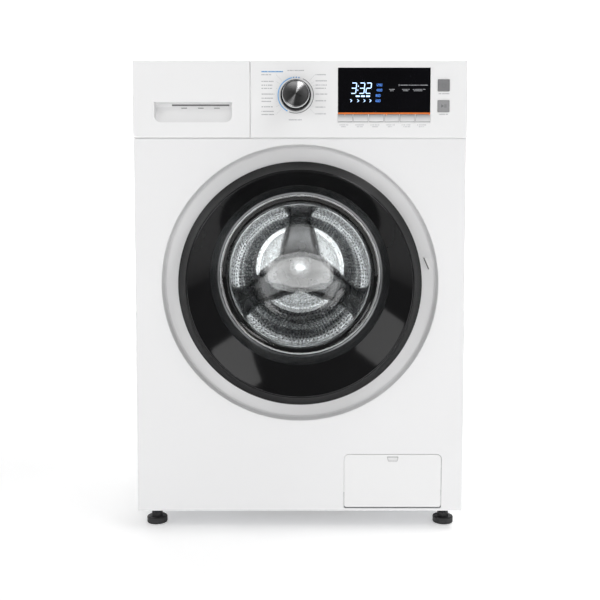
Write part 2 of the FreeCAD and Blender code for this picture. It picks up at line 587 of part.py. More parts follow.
def hinge_bracket():
    """Two fixed lugs on the dish and the pin that the door turns on."""
    parts = []
    for sign in (-1, 1):
        z0, z1 = sorted((DOOR_CENTRE_Z + sign * HINGE_LUG_START, DOOR_CENTRE_Z + sign * HINGE_LUG_END))
        eye = rod_z(HINGE_PIN_RADIUS + 2, HINGE_X, HINGE_DEPTH, z0, z1)
        arm = box(HINGE_X, HINGE_X + 14, HINGE_DEPTH - 3, HINGE_DEPTH + 5, z0, z1)
        leg = box(HINGE_X + 8, HINGE_X + 16, HINGE_DEPTH - 3, DISH_DEPTH, z0, z1)
        parts.append(fuse(eye, arm, leg))
    pin = rod_z(HINGE_PIN_RADIUS, HINGE_X, HINGE_DEPTH, DOOR_CENTRE_Z - HINGE_LUG_END,
                DOOR_CENTRE_Z + HINGE_LUG_END)
    return fuse(pin, *parts)


def door_hinge_arm():
    half = HINGE_LUG_START - 2
    knuckle = rod_z(HINGE_PIN_RADIUS + 2, HINGE_X, HINGE_DEPTH, DOOR_CENTRE_Z - half, DOOR_CENTRE_Z + half)
    web = box(HINGE_X - 5, HINGE_X + 5, HINGE_DEPTH, DOOR_BACK - 4, DOOR_CENTRE_Z - half + 4,
              DOOR_CENTRE_Z + half - 4)
    leaf = box(HINGE_X - 8, HINGE_X + 22, DOOR_BACK - 5, DOOR_BACK - 3, DOOR_CENTRE_Z - half + 4,
               DOOR_CENTRE_Z + half - 4)
    bore = rod_z(HINGE_PIN_RADIUS + RUNNING_FIT, HINGE_X, HINGE_DEPTH, DOOR_CENTRE_Z - 60, DOOR_CENTRE_Z + 60)
    return fuse(knuckle, web, leaf).cut(bore)


def latch_hook():
    """The sprung hook at the right of the door, which turns on its own pin."""
    z0, z1 = DOOR_CENTRE_Z - 5, DOOR_CENTRE_Z + 5
    root = rod_z(4, HOOK_X, -3, z0, z1)
    shank = box(HOOK_X - 2, HOOK_X + 2, -3, HOOK_LENGTH, z0, z1)
    beak = prism_z([(HOOK_X - 2, HOOK_LENGTH), (HOOK_X + 8, HOOK_LENGTH - 9), (HOOK_X + 2, HOOK_LENGTH - 11)],
                   z0, z1)
    return fuse(root, shank, beak)


def prism_z(profile, z0, z1):
    """A prism along Z from (x, depth) points."""
    points = [Vector(x, at(d), z0) for x, d in profile]
    return Part.Face(Part.makePolygon(points + points[:1])).extrude(Vector(0, 0, z1 - z0))


def door_lock():
    """The interlock behind the front panel, open where the hook enters."""
    case = box(HOOK_X - 18, HOOK_X + 30, DISH_DEPTH + SHEET + EPS, DISH_DEPTH + 40,
               DOOR_CENTRE_Z - 45, DOOR_CENTRE_Z + 45)
    throat = box(HOOK_X - 12, HOOK_X + 14, DISH_DEPTH, HOOK_LENGTH + 8,
                 DOOR_CENTRE_Z - 10, DOOR_CENTRE_Z + 10)
    return case.cut(throat)


def door_gasket():
    """The rubber bellows between the front panel and the tub."""
    r = MOUTH_RADIUS
    end = TUB_START - 8.5
    return turned([(r - 2.6, 16.5), (r - EPS, 16.5), (r - EPS, 24), (r - 4, 30), (r - 4, 50), (TUB_MOUTH, end),
                   (TUB_MOUTH - 3, end), (r - 7, 50), (r - 7, 35), (r - 19.5, 42), (r - 22.5, 39),
                   (r - 11.4, 34.5), (r - 11.4, 27.5)])


# ---------------------------------------------------------------- drum
def drum_front():
    """The drum's front ring: a dished annulus whose inner edge rolls back into the mouth."""
    start = DRUM_START
    r = DRUM_RADIUS
    t = DRUM_SHEET
    return turned([(r, start + 12), (r, start + 6), (r - 12, start + 2), (DRUM_MOUTH + 6, start),
                   (DRUM_MOUTH, start + 5), (DRUM_MOUTH, start + 12), (DRUM_MOUTH + t, start + 12),
                   (DRUM_MOUTH + t, start + 5.6), (DRUM_MOUTH + 6.5, start + t), (r - 12.4, start + 2 + t),
                   (r - t, start + 6.6), (r - t, start + 12)])


def drum_wall():
    """The drum's rolled wall and its back plate."""
    start = DRUM_START + 12 + EPS
    end = DRUM_START + DRUM_LENGTH
    r = DRUM_RADIUS
    return turned([(0, end), (r, end), (r, start), (r - DRUM_SHEET, start), (r - DRUM_SHEET, end - 2),
                   (0, end - 2)])


def drum_lifters():
    """Three hollow-looking paddles bolted inside the drum wall."""
    ribs = []
    z0 = DRUM_RADIUS - LIFTER_HEIGHT
    inside = rod_y(DRUM_RADIUS - DRUM_SHEET - 0.05, DRUM_START, DRUM_START + DRUM_LENGTH, (0, 0))
    for index in range(LIFTER_COUNT):
        points = [(-LIFTER_WIDTH / 2, DRUM_RADIUS), (-11, z0 + 5), (-5, z0), (5, z0), (11, z0 + 5),
                  (LIFTER_WIDTH / 2, DRUM_RADIUS)]
        d0 = DRUM_START + 14
        wire = [Vector(x, at(d0), z) for x, z in points]
        rib = Part.Face(Part.makePolygon(wire + wire[:1])).extrude(Vector(0, DRUM_LENGTH - 20, 0))
        rib = rib.common(inside)
        rib.rotate(Vector(0, 0, 0), Vector(0, 1, 0), 360 / LIFTER_COUNT * index)
        rib.translate(Vector(0, 0, AXIS_Z))
        ribs.append(rib)
    return ribs


def drum_spider():
    """The three-armed casting behind the drum with its shaft."""
    start = DRUM_START + DRUM_LENGTH + 0.1
    hub = rod_y(42, start, start + 19)
    shaft = rod_y(SHAFT_RADIUS, start + 10, PULLEY_START + PULLEY_WIDTH + 6)
    arms = []
    for index in range(LIFTER_COUNT):
        arm = box(-18, 18, start, start + 14, 20, DRUM_RADIUS - 8)
        arm.rotate(Vector(0, 0, 0), Vector(0, 1, 0), 360 / LIFTER_COUNT * index)
        arm.translate(Vector(0, 0, AXIS_Z))
        arms.append(arm)
    return fuse(hub, shaft, *arms)


def drum_pulley():
    """The large spoked pulley on the drum shaft."""
    d0, d1 = PULLEY_START, PULLEY_START + PULLEY_WIDTH
    rim = tube_y(DRUM_PULLEY_RADIUS, DRUM_PULLEY_RADIUS - 14, d0, d1)
    hub = rod_y(32, d0, d1)
    spokes = []
    for index in range(6):
        spoke = box(-9, 9, d0 + 4, d1 - 4, 20, DRUM_PULLEY_RADIUS - 8)
        spoke.rotate(Vector(0, 0, 0), Vector(0, 1, 0), 60 * index)
        spoke.translate(Vector(0, 0, AXIS_Z))
        spokes.append(spoke)
    return fuse(rim, hub, *spokes).cut(rod_y(SHAFT_RADIUS, d0 - 1, d1 + 1))


# ---------------------------------------------------------------- tub and drive
def tub_split():
    return (TUB_START + TUB_END) / 2


def tub_front_half():
    outer = TUB_RADIUS + TUB_WALL
    clamp = outer + TUB_FLANGE
    split = tub_split()
    return turned([(TUB_MOUTH - 3, TUB_START - 8), (TUB_MOUTH, TUB_START - 8), (TUB_MOUTH, TUB_START),
                   (outer, TUB_START), (outer, split - 8), (clamp, split - 8), (clamp, split),
                   (TUB_RADIUS, split), (TUB_RADIUS, TUB_START + TUB_WALL),
                   (TUB_MOUTH - 3, TUB_START + TUB_WALL)])


def tub_rear_half():
    outer = TUB_RADIUS + TUB_WALL
    split = tub_split() + 0.1
    hub = BEARING_RADIUS + 10
    return turned([(BEARING_RADIUS, TUB_END - 2), (TUB_RADIUS, TUB_END - TUB_WALL), (TUB_RADIUS, split),
                   (outer + TUB_FLANGE, split), (outer + TUB_FLANGE, split + 8), (outer, split + 8),
                   (outer, TUB_END), (hub + 25, TUB_END), (hub, TUB_END + 10), (hub, TUB_END + 30),
                   (BEARING_RADIUS, TUB_END + 30)])


def drum_bearings():
    rings = []
    for depth in (TUB_END + 1, TUB_END + 17):
        rings.append(tube_y(BEARING_RADIUS, SHAFT_RADIUS + RUNNING_FIT, depth, depth + BEARING_WIDTH))
    return rings


def counterweights():
    """A lower front arc and a top block of cast concrete, bolted to the tub."""
    arc = tube_y(TUB_RADIUS - 4, TUB_MOUTH + 18, TUB_START - 26, TUB_START - EPS)
    arc = arc.common(box(-TUB_RADIUS, TUB_RADIUS, 0, 200, AXIS_Z - TUB_RADIUS, AXIS_Z - 60))
    outer = TUB_RADIUS + TUB_WALL
    block = box(-70, 150, 130, tub_split() - 20, AXIS_Z, AXIS_Z + outer + 40)
    return [arc, block.cut(rod_y(outer + EPS, 0, REAR_DEPTH))]


def heater_element():
    z = AXIS_Z - (DRUM_RADIUS + TUB_RADIUS) / 2
    legs = [rod_y(4, TUB_START + 110, TUB_END - TUB_WALL - EPS, (x, z)) for x in (-20, 20)]
    bridge = rod_x(4, -20, 20, TUB_START + 110, z)
    return fuse(bridge, *legs)


def drive_motor():
    """The motor under the tub, hung from a bracket against the tub wall."""
    case = rod_y(MOTOR_RADIUS, PULLEY_START - 155, PULLEY_START - 25, (0, MOTOR_Z))
    nose = rod_y(22, PULLEY_START - 26, PULLEY_START - 12, (0, MOTOR_Z))
    bracket = box(-40, 40, PULLEY_START - 130, PULLEY_START - 50, MOTOR_Z + 30, AXIS_Z - TUB_RADIUS + 20)
    bracket = bracket.cut(rod_y(TUB_RADIUS + TUB_WALL + EPS, 0, REAR_DEPTH))
    bore = rod_y(MOTOR_SHAFT_RADIUS + RUNNING_FIT, PULLEY_START - 40, PULLEY_START, (0, MOTOR_Z))
    return fuse(case, nose, bracket).cut(bore)


def motor_pulley():
    wheel = rod_y(MOTOR_PULLEY_RADIUS, PULLEY_START, PULLEY_START + PULLEY_WIDTH, (0, MOTOR_Z))
    shaft = rod_y(MOTOR_SHAFT_RADIUS, PULLEY_START - 38, PULLEY_START + 4, (0, MOTOR_Z))
    return fuse(wheel, shaft)


def belt_outline(grow):
    """The closed band round both pulleys, as a solid, larger by a gap."""
    big = DRUM_PULLEY_RADIUS + grow
    small = MOTOR_PULLEY_RADIUS + grow
    tilt = math.asin((big - small) / (AXIS_Z - MOTOR_Z))
    d0, d1 = PULLEY_START + 2, PULLEY_START + PULLEY_WIDTH - 2
    corners = []
    for sign, radius, z in ((1, big, AXIS_Z), (1, small, MOTOR_Z), (-1, small, MOTOR_Z), (-1, big, AXIS_Z)):
        corners.append(Vector(sign * radius * math.cos(tilt), at(d0), z + -radius * math.sin(tilt)))
    span = Part.Face(Part.makePolygon(corners + corners[:1])).extrude(Vector(0, d1 - d0, 0))
    return fuse(span, rod_y(big, d0, d1), rod_y(small, d0, d1, (0, MOTOR_Z)))


def drive_belt():
    return belt_outline(EPS + BELT_THICKNESS).cut(belt_outline(EPS))


# ---------------------------------------------------------------- suspension
def tub_height(x, grow=0.0):
    """How far the outside of the tub reaches above or below its axis at a distance from the middle."""
    outer = TUB_RADIUS + TUB_WALL + grow
    return math.sqrt(outer ** 2 - x ** 2)


def suspension_springs():
    """Two coil springs from the front brace to the tub, kept as plain sleeves."""
    top = WORKTOP_BOTTOM - 24 - EPS
    sleeves = []
    for sign in (-1, 1):
        z0 = AXIS_Z + tub_height(SPRING_X - SPRING_RADIUS) + 2
        outer = rod_z(SPRING_RADIUS, sign * SPRING_X, BRACE_DEPTH, z0, top)
        inner = rod_z(SPRING_RADIUS - SPRING_WIRE, sign * SPRING_X, BRACE_DEPTH, z0 - 1, top + 1)
        sleeves.append(outer.cut(inner))
    return sleeves


def dampers(part):
    """The cylinders on the base or the rods under the tub of the three friction dampers."""
    floor = FOOT_HEIGHT + 2 + EPS
    solids = []
    for sign, depth in DAMPER_DEPTHS:
        x = sign * DAMPER_X
        if part == "cylinders":
            case = rod_z(14, x, depth, floor, floor + 120)
            solids.append(case.cut(rod_z(6.5, x, depth, floor + 12, floor + 121)))
        else:
            top = AXIS_Z - tub_height(DAMPER_X - 6) - 2
            solids.append(rod_z(6, x, depth, floor + 40, top))
    return solids


def hose_place():
    """Where the hose leaves the dispenser, in X and depth."""
    return TRAY_LEFT + TRAY_WIDTH / 2, DRAWER_FRONT_DEPTH + TRAY_LENGTH - 10


def tub_hoses():
    """The short hose from the dispenser to the tub and the one from the tub to the pump."""
    x, depth = hose_place()
    feed_bottom = AXIS_Z + tub_height(abs(x) - HOSE_RADIUS, TUB_FLANGE) + 2
    feed = rod_z(HOSE_RADIUS, x, depth, feed_bottom, TRAY_BOTTOM - TRAY_GAP - DISPENSER_WALL - EPS)
    spout = rod_z(HOSE_RADIUS - 3 + 0.1, x, depth, TRAY_BOTTOM - 20, TRAY_BOTTOM)
    sump_x = PUMP_X - PUMP_RADIUS / 2
    sump_radius = HOSE_RADIUS - 4
    sump_top = AXIS_Z - tub_height(sump_x - sump_radius) - 2
    sump = rod_z(sump_radius, sump_x, 100, PUMP_Z + PUMP_RADIUS + 1, sump_top)
    return [feed.cut(spout), sump]


# ---------------------------------------------------------------- pump, flap, feet and rear fittings
def drain_pump():
    centre = (PUMP_X, PUMP_Z)
    body = rod_y(PUMP_RADIUS, 20, 125, centre)
    motor = rod_y(28, 124, 170, centre)
    base = box(PUMP_X - 30, PUMP_X + 30, 30, 120, FOOT_HEIGHT + 2 + EPS, PUMP_Z - 20)
    bore = rod_y(FILTER_RADIUS + 0.5, 19, 100, centre)
    return fuse(body, motor, base).cut(bore)


def filter_cap():
    """The round cap of the pump filter with its grip bar and basket."""
    centre = (PUMP_X, PUMP_Z)
    disc = rod_y(FILTER_RADIUS, 16, 30, centre)
    basket = tube_y(FILTER_RADIUS - 5, FILTER_RADIUS - 8, 29, 90, centre)
    grip = rounded_plate(PUMP_X - 24, PUMP_X + 24, 7, 17, PUMP_Z - 5, PUMP_Z + 5, 3)
    return fuse(disc, basket, grip)


def service_flap():
    """The small cover before the pump filter, hinged along its lower edge."""
    flap = rounded_plate(FLAP_LEFT, FLAP_RIGHT, 0, FLAP_THICKNESS, FLAP_BOTTOM, FLAP_TOP, FLAP_CORNER,
                         FLAP_LOW_CORNER + SEAM)
    middle = (FLAP_LEFT + FLAP_RIGHT) / 2
    notch = prism_y([(middle - 8, FLAP_TOP - 12.5), (middle + 8, FLAP_TOP - 12.5),
                     (middle + 10, FLAP_TOP - 4.5), (middle - 10, FLAP_TOP - 4.5)], -1, 1.4)
    knuckle = rod_x(2.5, FLAP_LEFT + 14, FLAP_RIGHT - 14, FLAP_HINGE_DEPTH, FLAP_HINGE_Z)
    web = box(FLAP_LEFT + 14, FLAP_RIGHT - 14, FLAP_THICKNESS - 1, FLAP_HINGE_DEPTH, FLAP_HINGE_Z - 1.5,
              FLAP_HINGE_Z + 1.5)
    return fuse(flap.cut(notch), knuckle, web)


def prism_y(profile, d0, d1):
    """A prism along Y from (x, z) points."""
    points = [Vector(x, at(d0), z) for x, z in profile]
    return Part.Face(Part.makePolygon(points + points[:1])).extrude(Vector(0, d1 - d0, 0))


def foot_places():
    return [(sx * FOOT_X, d) for d in (FOOT_INSET, REAR_DEPTH - FOOT_INSET) for sx in (-1, 1)]


def levelling_foot(x, depth):
    pad = rod_z(FOOT_RADIUS, x, depth, 0, FOOT_PAD)
    pad = pad.makeFillet(2.0, [e for e in pad.Edges if e.Curve.TypeId == "Part::GeomCircle"])
    collar = rod_z(FOOT_STEM_RADIUS + 5, x, depth, FOOT_PAD - 1, FOOT_PAD + 8)
    stem = rod_z(FOOT_STEM_RADIUS, x, depth, FOOT_PAD, FOOT_HEIGHT + 24)
    return fuse(pad, collar, stem)


def inlet_valve():
    """The cold water valve: a body inside and the threaded spigot outside."""
    centre = (INLET_X, INLET_Z)
    thread = rod_y(INLET_RADIUS, REAR_DEPTH + INLET_RELIEF, REAR_DEPTH + INLET_PROUD, centre)
    neck = rod_y(INLET_RADIUS - 1.2, REAR_DEPTH - 12, REAR_DEPTH + INLET_RELIEF + 1, centre)
    back = REAR_DEPTH - SHEET - EPS
    body = box(INLET_X - 20, INLET_X + 20, REAR_DEPTH - 50, back, INLET_Z - 22, INLET_Z + 20)
    bore = rod_y(INLET_BORE, REAR_DEPTH - 10, REAR_DEPTH + INLET_PROUD + 1, centre)
    return fuse(thread, neck, body).cut(bore)


def rear_glands():
    """The bushings where the power cord and the drain hose leave the cabinet."""
    solids = []
    for x, z, bore in ((CORD_X, CORD_Z, CORD_BORE), (DRAIN_X, DRAIN_Z, DRAIN_BORE)):
        neck = rod_y(bore + 6 - EPS, REAR_DEPTH - 12, REAR_DEPTH + 8, (x, z))
        flange = rod_y(bore + 10, REAR_DEPTH + EPS, REAR_DEPTH + 4, (x, z))
        solids.append(fuse(neck, flange).cut(rod_y(bore, REAR_DEPTH - 13, REAR_DEPTH + 9, (x, z))))
    return solids


def panel_screws():
    """The identical screws of the rear cover and the rear edge of the cabinet."""
    solids = []
    ring = ACCESS_RADIUS + 7
    for index in range(6):
        turn = math.radians(60 * index + 30)
        centre = (ring * math.cos(turn), AXIS_Z + ring * math.sin(turn))
        solids.append(screw(centre, REAR_DEPTH + SHEET))
    for x in (-SIDE_X + 8, SIDE_X - 8):
        for z in (FOOT_HEIGHT + 60, AXIS_Z, WORKTOP_BOTTOM - 50):
            solids.append(screw((x, z), REAR_DEPTH))
    return solids


def screw(centre, depth):
    head = rod_y(SCREW_RADIUS, depth + 0.05, depth + 2.4, centre)
    slot_x = box(centre[0] - 2.6, centre[0] + 2.6, depth + 1.2, depth + 3, centre[1] - 0.5, centre[1] + 0.5)
    slot_z = box(centre[0] - 0.5, centre[0] + 0.5, depth + 1.2, depth + 3, centre[1] - 2.6, centre[1] + 2.6)
    return cut(head, slot_x, slot_z)


# ---------------------------------------------------------------- all nodes
os.makedirs("parts", exist_ok=True)
save("cabinet_sides", side_panel(-1), side_panel(1))
save("rear_panel", rear_panel())
save("rear_access_cover", rear_access_cover())
save("base_frame", base_frame())
save("top_braces", *top_braces())
save("worktop", worktop())
save("front_panel", front_panel())
save("control_fascia", control_fascia())
save("display_window", display_window())
save("accent_strip", accent_strip())
save("control_module", control_module())
save("dispenser_housing", dispenser_housing())
save("inlet_valve", inlet_valve())
save("rear_glands", *rear_glands())
save("panel_screws", *panel_screws())
save("drain_pump", drain_pump())
save("door_lock", door_lock())
save("hinge_bracket", hinge_bracket())
save("tub_front_half", tub_front_half())
save("tub_rear_half", tub_rear_half())
save("drum_bearings", *drum_bearings())
save("counterweights", *counterweights())
save("heater_element", heater_element())
save("drive_motor", drive_motor())
save("drive_belt", drive_belt())
save("suspension_springs", *suspension_springs())
save("damper_cylinders", *dampers("cylinders"))
save("damper_rods", *dampers("rods"))
save("tub_hoses", *tub_hoses())
save("door_gasket", door_gasket())
save("drum_front", drum_front())
save("drum_wall", drum_wall())
save("drum_lifters", *drum_lifters())
save("drum_spider", drum_spider())
save("drum_pulley", drum_pulley())
save("motor_pulley", motor_pulley())
save("door_outer_trim", door_outer_trim())
save("door_inner_frame", door_inner_frame())
save("door_chrome_ring", door_chrome_ring())
save("door_glass", door_glass())
save("door_hinge_arm", door_hinge_arm())
save("latch_hook", latch_hook())
save("drawer_front", drawer_front())
save("drawer_tray", drawer_tray())
save("service_flap", service_flap())
save("filter_cap", filter_cap())
save("dial_knob", dial_knob())
save("dial_face", dial_face())
save("power_button", square_key(POWER_KEY_Z))
save("start_button", square_key(START_KEY_Z))
for number in range(KEY_COUNT):
    save(f"function_button_{number + 1}", function_key(number))
for name, (x, depth) in zip(("front_left", "front_right", "rear_left", "rear_right"), foot_places()):
    save(f"foot_{name}", levelling_foot(x, depth))
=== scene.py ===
"""Looks of the front load washing machine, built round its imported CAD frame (metres, door towards -Y)."""
import math
import random

import bmesh
import bpy
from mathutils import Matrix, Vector


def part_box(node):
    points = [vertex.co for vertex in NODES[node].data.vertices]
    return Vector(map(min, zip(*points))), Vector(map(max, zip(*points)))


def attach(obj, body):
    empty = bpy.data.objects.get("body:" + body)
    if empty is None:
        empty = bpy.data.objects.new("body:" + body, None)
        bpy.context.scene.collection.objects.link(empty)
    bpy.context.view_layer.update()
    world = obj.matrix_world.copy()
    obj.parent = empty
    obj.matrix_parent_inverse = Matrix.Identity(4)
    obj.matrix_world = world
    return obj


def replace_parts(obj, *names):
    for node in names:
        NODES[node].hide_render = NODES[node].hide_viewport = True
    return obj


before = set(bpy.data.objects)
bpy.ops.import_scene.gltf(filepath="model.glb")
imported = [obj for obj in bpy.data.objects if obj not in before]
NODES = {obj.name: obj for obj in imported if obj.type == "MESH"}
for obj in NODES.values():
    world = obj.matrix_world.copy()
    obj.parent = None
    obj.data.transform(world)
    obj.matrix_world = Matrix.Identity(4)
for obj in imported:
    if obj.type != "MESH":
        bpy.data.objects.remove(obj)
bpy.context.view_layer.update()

MM = 0.001


def middle(node):
    """Centre of a CAD node's box."""
    return (low(node) + high(node)) / 2


def low(node):
    """Lowest corner of a CAD node's box."""
    return Vector(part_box(node)[0])


def high(node):
    """Highest corner of a CAD node's box."""
    return Vector(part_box(node)[1])


FACE_Y = low("front_panel").y
AXIS = middle("door_chrome_ring")
DOOR = middle("door_outer_trim")
FASCIA_DEPTH = (low("control_fascia").y - FACE_Y) / MM
DISPLAY_DEPTH = (low("display_window").y - FACE_Y) / MM
KEY_DEPTH = (low("power_button").y - FACE_Y) / MM

CAMERA_AWAY = 1.446
CAMERA_HEIGHT = 0.543
CAMERA_TILT = 0.0632
WORLD_LIGHT = 0.19
FLOOR_GLOW = 0.32
# name, place, target, width and height, power
SOFT_BOXES = [
    ("soft_box_left", (-2.4, -1.9, 1.95), (0, 0, 0.5), (1.5, 1.3), 20),
    ("soft_box_right", (1.9, -1.9, 2.7), (0, 0, 0.5), (1.3, 1.3), 20),
    ("front_left", (-1.6, -4.2, 1.75), (0, 0, 0.55), (1.3, 2.2), 13.5),
    ("front_right", (2.0, -4.2, 1.6), (0, 0, 0.55), (1.3, 2.2), 8.5),
    ("front_low", (0.1, -3.6, 0.32), (0, 0, 0.6), (1.8, 0.5), 14),
    ("soft_box_top", (1.35, -0.1, 2.75), (0.2, -0.1, 0.6), (1.7, 0.9), 30),
    ("soft_box_back", (0, 4.2, 2.2), (0, 8, 1.4), (8, 4), 330),
]
# the paper sweep: where it starts to rise, its bend, its half width and its far edges
SWEEP_START, SWEEP_BEND, SWEEP_STEPS = 4, 2, 24
SWEEP_HALF_WIDTH, SWEEP_FRONT, SWEEP_TOP = 12, -9, 9


# ------------------------------------------------------------------ camera and studio
def add_camera():
    """Straight in front, above the middle of the machine and pitched slightly down."""
    data = bpy.data.cameras.new("camera")
    data.lens = 48.2
    data.shift_y = -0.0253
    data.clip_end = 60
    camera = bpy.data.objects.new("camera", data)
    camera.location = (0.0, FACE_Y - CAMERA_AWAY, CAMERA_HEIGHT)
    camera.rotation_euler = (math.pi / 2 - CAMERA_TILT, 0, 0)
    bpy.context.scene.collection.objects.link(camera)
    bpy.context.scene.camera = camera


def area_light(name, place, target, size, power):
    """A soft box of some width and height, aimed at a point."""
    data = bpy.data.lights.new(name, "AREA")
    data.shape = "RECTANGLE"
    data.size, data.size_y = size
    data.energy = power
    light = bpy.data.objects.new(name, data)
    light.location = place
    light.rotation_euler = (Vector(target) - Vector(place)).to_track_quat("-Z", "Y").to_euler()
    bpy.context.scene.collection.objects.link(light)


def add_studio():
    """White sweep that glows a little, pale world, soft boxes and a small lamp inside the drum."""
    scene = bpy.context.scene
    scene.view_settings.view_transform = "Standard"
    world = bpy.data.worlds.new("studio")
    world.use_nodes = True
    world.node_tree.nodes["Background"].inputs["Color"].default_value = (1, 1, 1, 1)
    world.node_tree.nodes["Background"].inputs["Strength"].default_value = WORLD_LIGHT
    scene.world = world
    for name, place, target, size, power in SOFT_BOXES:
        area_light(name, place, target, size, power)
    area_light("drum_light", (0, at(168), AXIS.z + 0.02), (0, at(390), AXIS.z), (0.10, 0.10), 0.025)
    sweep = []
    for step in range(SWEEP_STEPS + 1):
        turn = math.radians(90 * step / SWEEP_STEPS)
        sweep.append((SWEEP_START + SWEEP_BEND * math.sin(turn), SWEEP_BEND - SWEEP_BEND * math.cos(turn)))
    profile = [(SWEEP_FRONT, 0)] + sweep + [(SWEEP_START + SWEEP_BEND, SWEEP_TOP)]
    verts = [(x, y, z) for y, z in profile for x in (-SWEEP_HALF_WIDTH, SWEEP_HALF_WIDTH)]
    faces = [(2 * i, 2 * i + 1, 2 * i + 3, 2 * i + 2) for i in range(len(profile) - 1)]
    mesh = bpy.data.meshes.new("floor")
    mesh.from_pydata(verts, [], faces)
    mesh.shade_smooth()
    floor = bpy.data.objects.new("floor", mesh)
    scene.collection.objects.link(floor)
    paper = finish("studio_floor", (0.93, 0.93, 0.93), 0.7, tone=0.01, tone_scale=2)
    paper.node_tree.nodes["Principled BSDF"].inputs["Emission Color"].default_value = (1, 1, 1, 1)
    paper.node_tree.nodes["Principled BSDF"].inputs["Emission Strength"].default_value = FLOOR_GLOW
    floor.data.materials.append(paper)


# ------------------------------------------------------------------ materials
def finish(name, color, rough, metal=0.0, tone=0.03, tone_scale=9.0, grain=0.0, grain_scale=900.0,
           stretch=(1, 1, 1), spread=0.06, specular=0.5):
    """A surface with colour drift, uneven gloss and fine relief, from noise in the object's own space."""
    material = bpy.data.materials.new(name)
    material.use_nodes = True
    tree = material.node_tree
    shader = tree.nodes["Principled BSDF"]
    shader.inputs["Metallic"].default_value = metal
    shader.inputs["Specular IOR Level"].default_value = specular
    place = tree.nodes.new("ShaderNodeTexCoord")
    mapping = tree.nodes.new("ShaderNodeMapping")
    mapping.inputs["Scale"].default_value = stretch
    tree.links.new(place.outputs["Object"], mapping.inputs["Vector"])
    drift = noise(tree, mapping, tone_scale, 4)
    ramp = tree.nodes.new("ShaderNodeValToRGB")
    dark = [max(0.0, c * (1 - tone)) for c in color]
    light = [min(1.0, c * (1 + tone)) for c in color]
    ramp.color_ramp.elements[0].position = 0.3
    ramp.color_ramp.elements[0].color = (*dark, 1)
    ramp.color_ramp.elements[1].position = 0.7
    ramp.color_ramp.elements[1].color = (*light, 1)
    tree.links.new(drift.outputs["Fac"], ramp.inputs["Fac"])
    tree.links.new(ramp.outputs["Color"], shader.inputs["Base Color"])
    smudge = noise(tree, mapping, tone_scale * 3.7, 5)
    gloss = tree.nodes.new("ShaderNodeMapRange")
    gloss.inputs["From Min"].default_value = 0.25
    gloss.inputs["From Max"].default_value = 0.75
    gloss.inputs["To Min"].default_value = max(0.01, rough - spread)
    gloss.inputs["To Max"].default_value = min(1.0, rough + spread)
    tree.links.new(smudge.outputs["Fac"], gloss.inputs["Value"])
    tree.links.new(gloss.outputs["Result"], shader.inputs["Roughness"])
    if grain:
        relief = noise(tree, mapping, grain_scale, 2)
        bump = tree.nodes.new("ShaderNodeBump")
        bump.inputs["Strength"].default_value = grain
        bump.inputs["Distance"].default_value = 0.0002
        tree.links.new(relief.outputs["Fac"], bump.inputs["Height"])
        tree.links.new(bump.outputs["Normal"], shader.inputs["Normal"])
    return material


def noise(tree, mapping, scale, detail):
    """A noise texture in mapped space."""
    texture = tree.nodes.new("ShaderNodeTexNoise")
    texture.inputs["Scale"].default_value = scale
    texture.inputs["Detail"].default_value = detail
    tree.links.new(mapping.outputs["Vector"], texture.inputs["Vector"])
    return texture


def set_stops(ramp, stops):
    """Grey stops of a colour ramp, each a (position, grey)."""
    while len(ramp.color_ramp.elements) < len(stops):
        ramp.color_ramp.elements.new(0.5)
    for element, (position, grey) in zip(ramp.color_ramp.elements, stops):
        element.position = position
        element.color = (grey, grey, grey * 1.01, 1)


def glass(name, tint):
    """Clear, polished glass."""
    material = finish(name, tint, 0.011, tone=0.01, spread=0.01)
    shader = material.node_tree.nodes["Principled BSDF"]
    shader.inputs["Transmission Weight"].default_value = 1.0
    shader.inputs["IOR"].default_value = 1.5
    return material


def glow(name, color, strength):
    """A surface that gives off light."""
    material = finish(name, color, 0.4)
    shader = material.node_tree.nodes["Principled BSDF"]
    shader.inputs["Emission Color"].default_value = (*color, 1)
    shader.inputs["Emission Strength"].default_value = strength
    return material


def galvanised():
    """Zinc sheet with its crystal spangle."""
    material = finish("galvanised_sheet", (0.42, 0.43, 0.45), 0.45, metal=0.8, tone=0.07, spread=0.1)
    tree = material.node_tree
    cells = tree.nodes.new("ShaderNodeTexVoronoi")
    cells.inputs["Scale"].default_value = 60
    ramp = next(n for n in tree.nodes if n.type == "VALTORGB")
    place = next(n for n in tree.nodes if n.type == "TEX_COORD")
    tree.links.new(place.outputs["Object"], cells.inputs["Vector"])
    tree.links.new(cells.outputs["Color"], ramp.inputs["Fac"])
    ramp.color_ramp.elements[0].position = 0.1
    ramp.color_ramp.elements[1].position = 0.9
    return material


